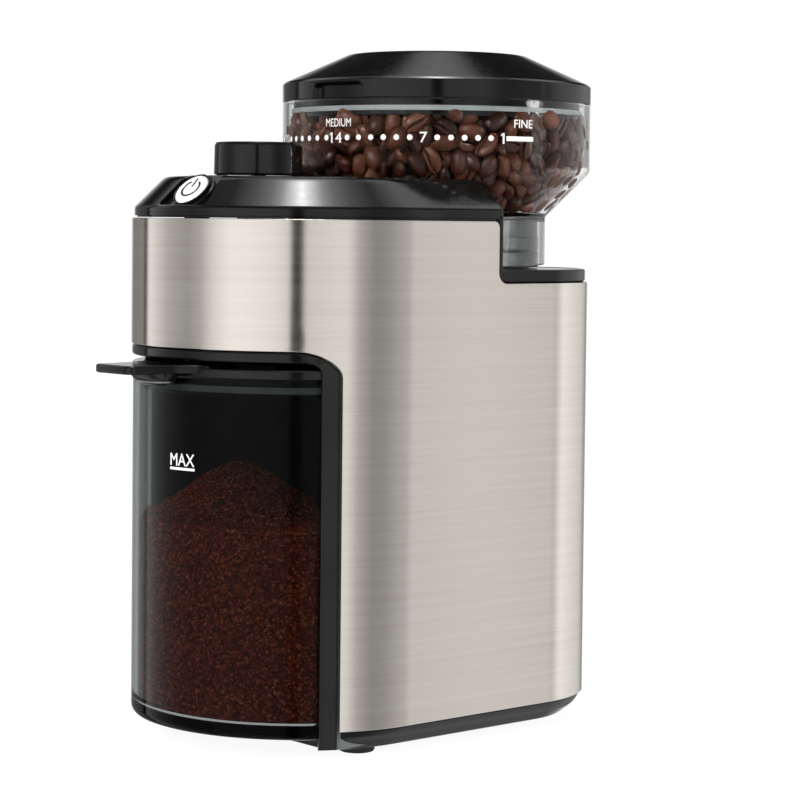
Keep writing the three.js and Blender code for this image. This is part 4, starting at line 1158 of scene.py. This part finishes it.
def container_form():
    """The tinted container, with a rolled rim and rounded corners inside its floor."""
    low, high = POT_LOW[2], POT_HIGH[2]
    floor, wall = low + POT_FLOOR, POT_WALL
    return shell(pot_ring, [
        (6.0, low + 0.7), (5.0, low + 0.7), (4.4, low), (2.6, low), (1.2, low + 0.5), (0.35, low + 1.5),
        (0, low + 3.0), (0, high - 0.6), (0.2, high - 0.15), (0.6, high), (wall - 0.6, high),
        (wall - 0.2, high - 0.15), (wall, high - 0.6), (wall, floor + 3.5), (wall + 0.4, floor + 1.7),
        (wall + 1.5, floor + 0.5), (wall + 3.2, floor), (wall + 4.0, floor),
    ])


def handle_outline():
    """The tongue handle seen from above, narrower towards its tip."""
    tip = POT_LID_LOW[1]
    right = fillet([
        (22, FRONT_Y + 6), (17.5, FRONT_Y + 1.2), (14.8, FRONT_Y - 5, 12), (13.2, FRONT_Y - 13, 20),
        (12.5, tip, 4.2), (0, tip),
    ], False, 8)
    return np.concatenate([mirrored(right)[1:], right[:-1]])[::-1]


def lid_form():
    """The container's lid: plate with the inlet, skirt, tongue handle and the finger swell under it."""
    low = POT_HIGH[2] + GAP
    inlet = rectangle(-CHUTE_HALF, CHUTE_HALF, CHUTE_FRONT + 1, CHUTE_FRONT + CHUTE_DEPTH - 1, 2)[::-1]

    def ring(loop, amount):
        return inset(loop, amount) if loop is inlet else pot_ring(amount - 0.2)

    edge = edge_profile(POT_LID_PLATE - low, 0.8, 0.4)
    form = slab([pot_ring(-0.2), inlet], edge, raised(POT_LID_PLATE), ring=ring)
    foot, outer, inner = POT_LID_LOW[2], POT_WALL + 1.1, POT_WALL + 3
    skirt = [
        (outer, low + 0.5), (outer, foot + 0.3), (outer + 0.3, foot), (inner - 0.3, foot),
        (inner, foot + 0.3), (inner, low + 0.5), (outer, low + 0.5),
    ]
    form.skin([at_height(pot_ring(amount), height) for amount, height in skirt])
    form.join(slab([handle_outline()], edge_profile(3.4, 1.0, 0.9), raised(HANDLE_TOP)))
    return form.join(swell_form())


def almond(share, out, columns):
    """The swell's outline at a share of its size, moved outwards."""
    turn = np.linspace(0, 2 * np.pi, columns, endpoint=False)
    narrow = 1 - 0.12 * np.cos(2 * turn) ** 2
    x = (SWELL_HALF_WIDTH * share + out) * np.cos(turn)
    y = SWELL_Y + (SWELL_HALF_DEPTH * share * narrow + out) * np.sin(turn)
    return np.stack([x, y], 1)


def swell_form():
    """The almond-shaped swell under the handle."""
    columns = 48
    rings = [
        at_height(almond(share, 0, columns), SWELL_TOP - SWELL_DROP * drop)
        for share, drop in arc(0, 0, 1, 0, 90, 12)
    ]
    return Form().skin(rings).add(rings[0], [tuple(range(columns))])


def swell_bead_form():
    """The bright metal bead round the swell, standing in for the swell's rim highlight as a painted
    highlight.
    """
    lean = math.radians(40)
    level = SWELL_TOP - SWELL_DROP * math.sin(lean)
    section = arc(0, 0, 0.5, 0, 360, 8)
    return Form().skin([at_height(almond(math.cos(lean), out, 64), level + up) for out, up in section])


def band_form(outer, inner, low, high):
    """A soft seal as a closed band between two outlines."""
    corners = ((outer, low), (outer, high), (inner, high), (inner, low), (outer, low))
    return Form().skin([at_height(ring, height) for ring, height in corners])


def container_seal_form():
    near = POT_WALL + GAP
    return band_form(pot_ring(near), pot_ring(near + 0.6), 142, 144.5)


# ---------------------------------------------------------------- hopper
HOPPER_AXIS = (0, HOPPER_Y)
HOPPER_RADIUS = (HOPPER_HIGH[0] - HOPPER_LOW[0]) / 2
HOPPER_WALL = 2.4
NECK = 47.0
CONE_LOW = 211.3
CONE_HIGH = 230.4
RIM_LOW = 259.0
RIM_HIGH = 267.4
LID_RADIUS = (LID_HIGH[0] - LID_LOW[0]) / 2
FINGER_TURN = math.radians(-90 + 9.5)  # where the lid's finger recess is
FINGER_HALF = 13.5
FINGER_DEPTH = 3.0
FINGER_ROOF = RIM_HIGH - 1.9


def hopper_form():
    """The clear bowl: neck, cone and round wall in one skin."""
    low, high = HOPPER_LOW[2], HOPPER_HIGH[2]
    outer, inner, throat = HOPPER_RADIUS, HOPPER_RADIUS - HOPPER_WALL, NECK - HOPPER_WALL
    profile = fillet([
        (throat, low, 0.5), (NECK, low, 0.9), (NECK, CONE_LOW, 1.2), (outer, CONE_HIGH, 3.0),
        (outer, high, 0.3), (inner, high, 0.3), (inner, CONE_HIGH + 1, 2.0),
        (throat + 1, CONE_LOW + 2.4, 2.0), (22, CONE_LOW + 0.2, 0.6), (22, 204, 0.4), (24, 204, 0.4),
        (24, CONE_LOW - 2, 1.0), (throat, CONE_LOW - 1, 1.0),
    ], True, 6)
    return turned(profile, HOPPER_AXIS, 192, True)


def finger_depth(across, height):
    """How deep the lid's finger recess is, at a distance round the rim and a height."""
    corner, soft = 3.0, 1.3
    u = np.maximum(np.abs(across) - (FINGER_HALF - corner), 0)
    v = max(height - (FINGER_ROOF - corner), 0)
    share = np.clip((corner - np.hypot(u, v)) / soft, 0, 1)
    return FINGER_DEPTH * (share * share * (3 - 2 * share))


def lid_top_form():
    """The hopper's lid, with the finger recess scooped out of its rim."""
    wall, skirt, foot = 2.2, 61.2, 252
    top = LID_HIGH[2]
    outside = fillet([
        (0, top), (38, top, 5), (LID_RADIUS - 1.0, RIM_HIGH, 0.9), (LID_RADIUS, RIM_HIGH - 1.0, 0.5),
        (LID_RADIUS, RIM_LOW, 0.4), (skirt, RIM_LOW), (skirt, foot, 0.3), (skirt - wall, foot, 0.3),
        (skirt - wall, RIM_HIGH - wall, 2), (37, top - wall, 3), (0, top - wall),
    ], False, 7)
    profile = split_long(outside[:, ::-1], 0.5, False)[:, ::-1]
    step = 0.35 / LID_RADIUS
    fine = np.arange(-FINGER_HALF - 3, FINGER_HALF + 3, 0.35) / LID_RADIUS
    coarse = np.linspace(fine[-1] + step, fine[0] + 2 * math.pi - step, 150)
    angle = np.concatenate([fine, coarse])
    across = ((angle + math.pi) % (2 * math.pi) - math.pi) * LID_RADIUS
    circle = np.stack([np.cos(angle + FINGER_TURN), np.sin(angle + FINGER_TURN)], 1)
    rings = []
    for radius, height in profile:
        on_rim = radius > LID_RADIUS - 0.8 and RIM_LOW - 0.05 <= height <= RIM_HIGH
        depth = finger_depth(across, height) if on_rim else 0 * across
        rings.append(at_height(circle * (radius - depth)[:, None] + HOPPER_AXIS, height))
    return Form().skin(rings)


def hopper_seal_form():
    outer, inner = (arc(*HOPPER_AXIS, radius, 0, 360, 120)[:-1] for radius in (62.0, 61.4))
    return band_form(outer, inner, 254, 256)


def neck_lining_form():
    """The grey tube inside the hopper's neck."""
    outer, inner, low, high = 43.9, 42.9, 200, 211
    return turned([(outer, low), (outer, high), (inner, high), (inner, low)], HOPPER_AXIS, 120, True)


def adjust_ring_form():
    """The adjuster: a sleeve, a wider grip ring with a groove round it, and a shelf inside."""
    sleeve, grip, inner, bore = RING_SLEEVE, 44.2, 37.6, 41.8
    profile = fillet([
        (inner, 182), (sleeve, 182, 0.3), (sleeve, 190), (grip, 190, 0.3), (grip, 196.2, 0.4),
        (grip - 0.5, 196.8, 0.3), (grip, 197.4, 0.4), (grip, 203, 0.6), (bore, 203, 0.5), (bore, 193, 1),
        (27, 189, 0.6), (27, 187, 0.5), (inner, 188, 0.5),
    ], True, 4)
    return turned(profile, HOPPER_AXIS, 120, True)


# ---------------------------------------------------------------- printed marks
MARK_LIFT = 0.05
MARK_THICK = 0.08
SETTING_STEP = 4.83  # degrees between two settings
SETTINGS = 28
FRONT_SETTING = 16
NUMBERED = {1: 0.75, 7: 3.1, 14: 5.6, 21: 5.3, 28: 6.0}  # setting: width of its number
FLAGGED = (1, 14)  # numbers whose 1 gets the flag that the letter shape lacks
DIGIT_HEIGHT = 4.3
WORD_HEIGHT = 3.3
WORDS = [("FINE", 8.9, 1, 8.1), ("MEDIUM", 13.1, 14, 0.7), ("COARSE", 12.6, SETTINGS, -8.1)]
DOTS_LEVEL = 242.8
WORDS_LEVEL = 248.9


def on_round(radius, centre_y, heading, height):
    """Places marks on an upright round face: u runs round it from a heading in degrees, v is up."""
    out = radius + MARK_LIFT

    def place(u, v, h):
        angle = math.radians(heading) + u / out
        return np.stack([(out + h) * np.cos(angle), centre_y + (out + h) * np.sin(angle), height + v], 1)

    return place


def on_dial(setting, height, turn=0.0):
    """Places flat marks on the hopper, at a setting or some degrees beside it."""
    heading = -90 + (FRONT_SETTING - setting) * SETTING_STEP
    return on_round(HOPPER_RADIUS, HOPPER_Y, heading + turn, height)


def mark(loop, place):
    return plate(loop, 0, MARK_THICK, place)


def text_form(text, height, width, place):
    """Letters as thin solids, scaled to a height and width."""
    curve = bpy.data.curves.new("letters", "FONT")
    curve.body = text
    curve.align_x = "CENTER"
    curve.align_y = "CENTER"
    curve.resolution_u = 4
    holder = bpy.data.objects.new("letters", curve)
    bpy.context.scene.collection.objects.link(holder)
    bpy.context.view_layer.update()
    made = bpy.data.meshes.new_from_object(holder.evaluated_get(bpy.context.evaluated_depsgraph_get()))
    bpy.data.objects.remove(holder)
    work = bmesh.new()
    work.from_mesh(made)
    bmesh.ops.remove_doubles(work, verts=work.verts, dist=1e-5)
    bmesh.ops.triangulate(work, faces=work.faces)
    grown = bmesh.ops.extrude_face_region(work, geom=list(work.faces), use_keep_orig=True)
    for item in grown["geom"]:
        if isinstance(item, bmesh.types.BMVert):
            item.co.z = 1.0
    work.verts.index_update()
    points = np.array([v.co[:] for v in work.verts])
    faces = [tuple(v.index for v in f.verts) for f in work.faces]
    work.free()
    bpy.data.meshes.remove(made)
    low, high = points.min(0), points.max(0)
    u = (points[:, 0] - (low[0] + high[0]) / 2) * width / (high[0] - low[0])
    v = (points[:, 1] - (low[1] + high[1]) / 2) * height / (high[1] - low[1])
    return Form().add(place(u, v, points[:, 2] * MARK_THICK), faces)


def dial_form():
    """Dots, numbers and words of the grind dial."""
    form = Form()
    dot = arc(0, 0, 1.15, 0, 360, 20)[:-1]
    flag = np.array([(-0.8, -1.25), (0.1, -0.6), (0.1, 0.0), (-0.8, -0.65)])
    for setting in range(1, SETTINGS + 1):
        place = on_dial(setting, DOTS_LEVEL)
        if setting not in NUMBERED:
            form.join(mark(dot, place))
            continue
        width = NUMBERED[setting]
        form.join(text_form(str(setting), DIGIT_HEIGHT, width, place))
        if setting in FLAGGED:
            form.join(mark(flag + (-width / 2, DIGIT_HEIGHT / 2), place))
    bar = rectangle(1.3, 14.2, -0.95, 0.95)
    form.join(mark(split_long(bar, 1.0), on_dial(1, DOTS_LEVEL)))
    form.join(mark(split_long(mirrored(bar) - (2, 0), 1.0), on_dial(SETTINGS, DOTS_LEVEL)))
    for word, width, setting, turn in WORDS:
        form.join(text_form(word, WORD_HEIGHT, width, on_dial(setting, WORDS_LEVEL, turn)))
    return form


def fill_mark_form():
    """The fill line on the container's front."""
    place = on_round(POT_ARC, ARC_Y, -81.0, 115.1)
    line = split_long(rectangle(-6.6, 6.6, -4.1, -3.1), 1.0)
    return text_form("MAX", 4.8, 13.0, place).join(mark(line, place))


# ---------------------------------------------------------------- coffee beans
BEAN_SEED = 7
BEAN_COUNT = 1000
BEANS_PER_PIECE = 200
BEAN_LENGTH, BEAN_WIDTH, BEAN_HEIGHT = 10.8, 8.0, 6.0
BEAN_TOP = 262.0
BOWL = HOPPER_RADIUS - HOPPER_WALL - 0.2  # radius that the beans have
CONE_SLOPE = (HOPPER_RADIUS - NECK) / (CONE_HIGH - CONE_LOW)
CORE_RADIUS = 46.0
CORE_FOOT = 31.0  # the core's radius at its foot
CORE_TOP = 246.0


def core_radius(height):
    """Radius of the dark core that the beans lie round, painted shade that fills the gaps between them."""
    return np.clip(CORE_FOOT + height - CONE_LOW - 3, CORE_FOOT, CORE_RADIUS)


def scatter_beans(rng):
    """Centres for the beans all through the bowl, round the hopper's axis."""
    centre = np.empty((0, 3))
    while len(centre) < BEAN_COUNT:
        tries = rng.uniform((-BOWL, -BOWL, 214), (BOWL, BOWL, BEAN_TOP), (4000, 3))
        away = np.hypot(tries[:, 0], tries[:, 1])
        limit = np.minimum(BOWL, NECK - 1 + (tries[:, 2] - CONE_LOW) * 0.9) - 4
        fits = (away < limit) & ((away > core_radius(tries[:, 2])) | (tries[:, 2] > CORE_TOP))
        centre = np.concatenate([centre, tries[fits]])[:BEAN_COUNT]
    return centre


def push_apart(balls, need, same):
    """Moves balls of different beans that are nearer than they need."""
    small = balls.astype(np.float32)
    square = (small**2).sum(1)
    distance2 = square[:, None] + square[None, :] - 2 * small @ small.T
    close = (distance2 < need**2) & ~same
    first, second = np.nonzero(np.triu(close, 1))
    offset = balls[first] - balls[second]
    distance = np.maximum(np.linalg.norm(offset, axis=1, keepdims=True), 1e-3)
    overlap = (need[first, second][:, None] - distance) * 0.5 * offset / distance
    push = np.zeros_like(balls)
    np.add.at(push, first, overlap * 0.7)
    np.add.at(push, second, -overlap * 0.7)
    return balls + push


def keep_in_bowl(balls, ball):
    """Moves balls of given radii inside the bowl's wall and cone, off the core, and below the lid."""
    lean = math.hypot(1, CONE_SLOPE)
    away = np.maximum(np.hypot(balls[:, 0], balls[:, 1]), 1e-3)
    out = balls[:, :2] / away[:, None]
    straight = np.maximum(away - (BOWL - ball), 0)
    cone = (away - (NECK - HOPPER_WALL - 0.5) - (balls[:, 2] - CONE_LOW) * CONE_SLOPE) / lean + ball
    cone = np.where(balls[:, 2] < CONE_HIGH + 2, np.maximum(cone, 0), 0)
    balls[:, :2] -= out * np.maximum(straight, cone / lean)[:, None]
    balls[:, 2] += cone * CONE_SLOPE / lean
    too_low = CORE_TOP + ball - balls[:, 2]
    too_near = core_radius(balls[:, 2]) + ball - away
    core = (too_low > 0) & (too_near > 0)
    aside = core & (too_near < too_low)
    balls[:, :2] += np.where(aside, np.minimum(too_near, 1.5), 0)[:, None] * out
    balls[:, 2] += np.where(core & ~aside, np.minimum(too_low, 1.5), 0)
    balls[:, 2] = np.maximum(balls[:, 2], CONE_LOW + 2.6 + ball)
    balls[:, 2] = np.minimum(balls[:, 2], RIM_LOW - 1.0 - ball)


def settle_beans():
    """Centres, turns, sizes and tones of the beans: each is three balls, pushed apart while they sink."""
    rng = np.random.default_rng(BEAN_SEED)
    centre = scatter_beans(rng)
    axis = rng.normal(size=(BEAN_COUNT, 3))
    axis /= np.linalg.norm(axis, axis=1, keepdims=True)
    reach = np.array([-2.7, 0.0, 2.7])
    ball = np.tile([2.9, 3.5, 2.9], BEAN_COUNT)
    owner = np.repeat(np.arange(BEAN_COUNT), 3)
    same = owner[:, None] == owner[None, :]
    need = (ball[:, None] + ball[None, :]).astype(np.float32)
    for step in range(70):
        centre[:, 2] -= 0.35 if step < 45 else 0.05
        balls = (centre[:, None, :] + axis[:, None, :] * reach[None, :, None]).reshape(-1, 3)
        balls = push_apart(balls, need, same)
        keep_in_bowl(balls, ball)
        sets = balls.reshape(-1, 3, 3)
        centre = sets.mean(1)
        axis = axis + 0.5 * ((sets[:, 2] - sets[:, 0]) / 5.4 - axis)
        axis /= np.linalg.norm(axis, axis=1, keepdims=True)
    centre[:, 1] += HOPPER_Y
    spin = rng.uniform(0, 2 * math.pi, BEAN_COUNT)
    size = rng.uniform(0.9, 1.08, (BEAN_COUNT, 3))
    tone = 0.2 + 0.8 * rng.uniform(0, 1, BEAN_COUNT) ** 1.3
    return centre, axis, spin, size, tone


def bean_section():
    """Across a bean: a dome over a flat face with a slit; each point is (y, z, depth of slit)."""
    dome = [(math.cos(math.radians(a)), math.sin(math.radians(a)), 0) for a in range(0, 181, 15)]
    half = [0.04, 0.1, 0.17, 0.27, 0.42, 0.62, 0.85]
    face = []
    for y in [-place for place in reversed(half)] + half:
        slit = math.exp(-((y / 0.1) ** 2))
        lip = math.exp(-(((abs(y) - 0.27) / 0.15) ** 2))
        face.append((y, -0.42 * math.sqrt(1 - y**2) + 0.44 * slit - 0.07 * lip, slit))
    return dome + face


def bean_shape():
    """One bean's points and faces, with how deep in the slit each point lies, which sets the painted shade
    in the slit.
    """
    rows, section = 18, bean_section()
    rings, depth = [], []
    for i in range(1, rows):
        along_x = -math.cos(math.pi * i / rows)
        girth = math.sqrt(1 - along_x**2) ** 0.85
        bend = 0.13 * math.sin(along_x * 3.0)
        ring = []
        for y, z, slit in section:
            side = (y + bend * (1 - y**2)) * girth if z < 0 else y * girth
            ring.append((along_x * BEAN_LENGTH / 2, side * BEAN_WIDTH / 2, z * girth * BEAN_HEIGHT * 0.66))
            depth.append(slit * min(1, girth * 1.3))
        rings.append(ring)
    form = Form().skin(rings)
    columns = len(section)
    for x, start in ((-BEAN_LENGTH / 2, 0), (BEAN_LENGTH / 2, (rows - 2) * columns)):
        tip = len(form.points)
        form.points.append((x, 0, 0.2))
        form.faces += [(tip, start + j, start + (j + 1) % columns) for j in range(columns)]
    return np.array(form.points), form.faces, np.array([*depth, 0, 0])


def add_beans():
    """The beans in several pieces, each point with its own tone and painted shade in its slit, and the dark
    core in their middle as painted shade between the beans.
    """
    centre, axis, spin, size, tone = settle_beans()
    shape, faces, depth = bean_shape()
    for start in range(0, BEAN_COUNT, BEANS_PER_PIECE):
        form = Form()
        tones = []
        for i in range(start, start + BEANS_PER_PIECE):
            turn = Vector(axis[i]).to_track_quat("X", "Z").to_matrix() @ Matrix.Rotation(spin[i], 3, "X")
            form.add((shape * size[i]) @ np.array(turn).T + centre[i], faces)
            # painted shade: each point gets darker the deeper it lies in the bean's slit
            tones += list(tone[i] * (1 - 0.9 * depth))
        name = f"beans_{start // BEANS_PER_PIECE + 1}"
        made = piece(name, "hopper", BEAN, form, sharp=60, weld=False)
        made.data.attributes.new("tone", "FLOAT", "POINT").data.foreach_set("value", tones)
    # the core: a dark body standing in for the shade between the beans, painted shade
    low = CONE_LOW + 3
    profile = fillet([
        (0, low), (CORE_FOOT, low, 3), (CORE_RADIUS, low + 15, 4),
        (CORE_RADIUS, CORE_TOP - 1, 5), (0, CORE_TOP),
    ], False, 5)
    piece("beans_painted_shade_core", "hopper", PAINTED_BEAN_SHADE, turned(profile, HOPPER_AXIS, 64))


# ---------------------------------------------------------------- ground coffee
MOUND_PEAK = 109.5
MOUND_X, MOUND_Y = -19.5, FRONT_Y + 53
MOUND_SLOPE = 0.7
MOUND_ROUND = 7.0
MOUND_EDGE = 88.0
MOUND_LUMPS = [(1.6, 0.06, 1.7), (0.7, 0.21, 4.2), (0.5, 0.7, 9.1), (0.35, 1.9, 3.3)]
MOUND_CLEAR = 0.12  # between the coffee and the container
MOUND_STEPS = 150


def mound_height(x, y):
    """Height of the ground coffee: a rounded heap, with lumps, lower towards the walls."""
    away = np.hypot(x - MOUND_X, y - MOUND_Y)
    heap = MOUND_PEAK - MOUND_SLOPE * (np.sqrt(away**2 + MOUND_ROUND**2) - MOUND_ROUND)
    lumps = np.array([
        sum(tall * noise.noise((px * fine, py * fine, cut)) for tall, fine, cut in MOUND_LUMPS)
        for px, py in zip(x, y)
    ])
    return np.maximum(heap, MOUND_EDGE) + lumps


def grounds_form():
    """The ground coffee: a skin inside the container's wall and floor, closed by the heap's top."""
    clear = POT_WALL + MOUND_CLEAR
    low = POT_LOW[2] + POT_FLOOR + MOUND_CLEAR
    foot, levels = low + 3.5, 24
    edge = pot_ring(clear, MOUND_STEPS)
    rim = mound_height(*edge.T)
    corner = ((4.2, low), (3.3, low), (1.5, low + 0.5), (0.4, low + 1.7), (0, foot))
    rings = [at_height(pot_ring(clear + more, MOUND_STEPS), height) for more, height in corner]
    rings += [at_height(edge, foot + (rim - foot) * k / levels) for k in range(1, levels + 1)]
    form = Form().skin(rings)
    form.cover([pot_ring(clear + 4.2, MOUND_STEPS)], lambda p: at_height(p, low))
    return form.cover([edge], lambda p: at_height(p, mound_height(*p.T)), (0.6, 0.6))


def crumbs_form(seed, tries, band=None):
    """Loose grains on the heap, each a small rough lump; with a band, only those that near the wall."""
    rng = np.random.default_rng(seed)
    shape = np.array([(1, 0, 0), (-1, 0, 0), (0, 1, 0), (0, -1, 0), (0, 0, 1), (0, 0, -1)], float)
    faces = [(0, 2, 4), (2, 1, 4), (1, 3, 4), (3, 0, 4), (2, 0, 5), (1, 2, 5), (3, 1, 5), (0, 3, 5)]
    near = POT_WALL + 0.9
    edge = pot_ring(near)
    places = rng.uniform(edge.min(0), edge.max(0), (tries, 2))
    places = places[inside(places, [edge])]
    if band:
        places = places[~inside(places, [pot_ring(near + band)])]
    form = Form()
    for (x, y), z in zip(places, mound_height(*places.T)):
        size = rng.uniform(0.3, 0.85) * rng.uniform(0.7, 1.3, 3)
        turn = Matrix.Rotation(rng.uniform(0, 6.28), 3, "Z") @ Matrix.Rotation(rng.uniform(0, 6.28), 3, "X")
        form.add((shape * size) @ np.array(turn).T + (x, y, z + 0.15), faces)
    return form


# ---------------------------------------------------------------- assembly
def build_casing():
    black = MATERIALS["black_plastic"]
    steel = MATERIALS["brushed_steel"]
    piece("steel_shell", "housing", steel, steel_form(), ["steel_wrap"])
    piece("rear_panel", "housing", black, rear_cover_form(), ["rear_cover"])
    piece("base_tray", "housing", GLOSS, base_form(), ["base_pan"])
    for node in ("foot_front_left", "foot_front_right", "foot_rear_left", "foot_rear_right"):
        piece(f"rubber_{node}", "housing", MATERIALS["foot_rubber"], foot_form(node), [node])
    piece("deck_moulding", "housing", GLOSS, deck_form(), ["top_deck"])
    piece("deck_trim", "housing", GLOSS, trim_form())
    piece("neck_ledge", "housing", GLOSS, ledge_form())
    piece("bay_frame", "housing", GLOSS, bay_front_form(), ["bay_liner"])
    piece("bay_room", "housing", BAY_BLACK, bay_room_form())


def build_controls():
    white = MATERIALS["white_plastic"]
    piece("button_bezel", "housing", GLOSS, bezel_form(), ["button_ring"])
    piece("button_cap", "button", white, button_form(), ["power_button"])
    piece("button_sign", "button", PRINT_BLACK, power_mark_form())
    piece("knob_cap", "knob", GLOSS, knob_form(), ["timer_knob"])
    piece("knob_line", "knob", PRINT_WHITE, knob_mark_form())


def build_container():
    smoked, soft = MATERIALS["smoked_clear"], MATERIALS["silicone"]
    piece("container_jar", "container", smoked, container_form(), ["grounds_container"])
    piece("container_cover", "container", GLOSS, lid_form(), ["container_lid"])
    # painted highlight: a bright metal bead stands in for the highlight round the swell's rim
    piece("handle_highlight_bead", "container", MATERIALS["zinc_steel"], swell_bead_form())
    piece("container_gasket", "container", soft, container_seal_form(), ["container_seal"])
    piece("container_mark", "container", PRINT_WHITE, fill_mark_form())
    piece("coffee_grounds", "container", GROUNDS, grounds_form(), sharp=70)
    # painted light: the loose grains, and most of all those against the wall, use brightened copies of the
    # coffee
    piece("coffee_crumbs", "container", GRAINS, crumbs_form(11, 9000), sharp=180, weld=False)
    piece("coffee_rim", "container", RIM_GRAINS, crumbs_form(12, 40000, 3.0), sharp=180, weld=False)


def build_hopper():
    clear, grey, soft = (MATERIALS[name] for name in ("clear_plastic", "grey_plastic", "silicone"))
    piece("hopper_bowl", "hopper", clear, hopper_form(), ["hopper"])
    piece("hopper_dial", "hopper", PRINT_WHITE, dial_form())
    piece("hopper_cover", "hopper_lid", GLOSS, lid_top_form(), ["hopper_lid"], sharp=50)
    piece("hopper_gasket", "hopper_lid", soft, hopper_seal_form(), ["hopper_seal"])
    piece("neck_lining", "hopper", grey, neck_lining_form())
    piece("grind_ring", "adjuster", grey, adjust_ring_form(), ["adjust_ring"])
    add_beans()


build_casing()
build_controls()
build_container()
build_hopper()
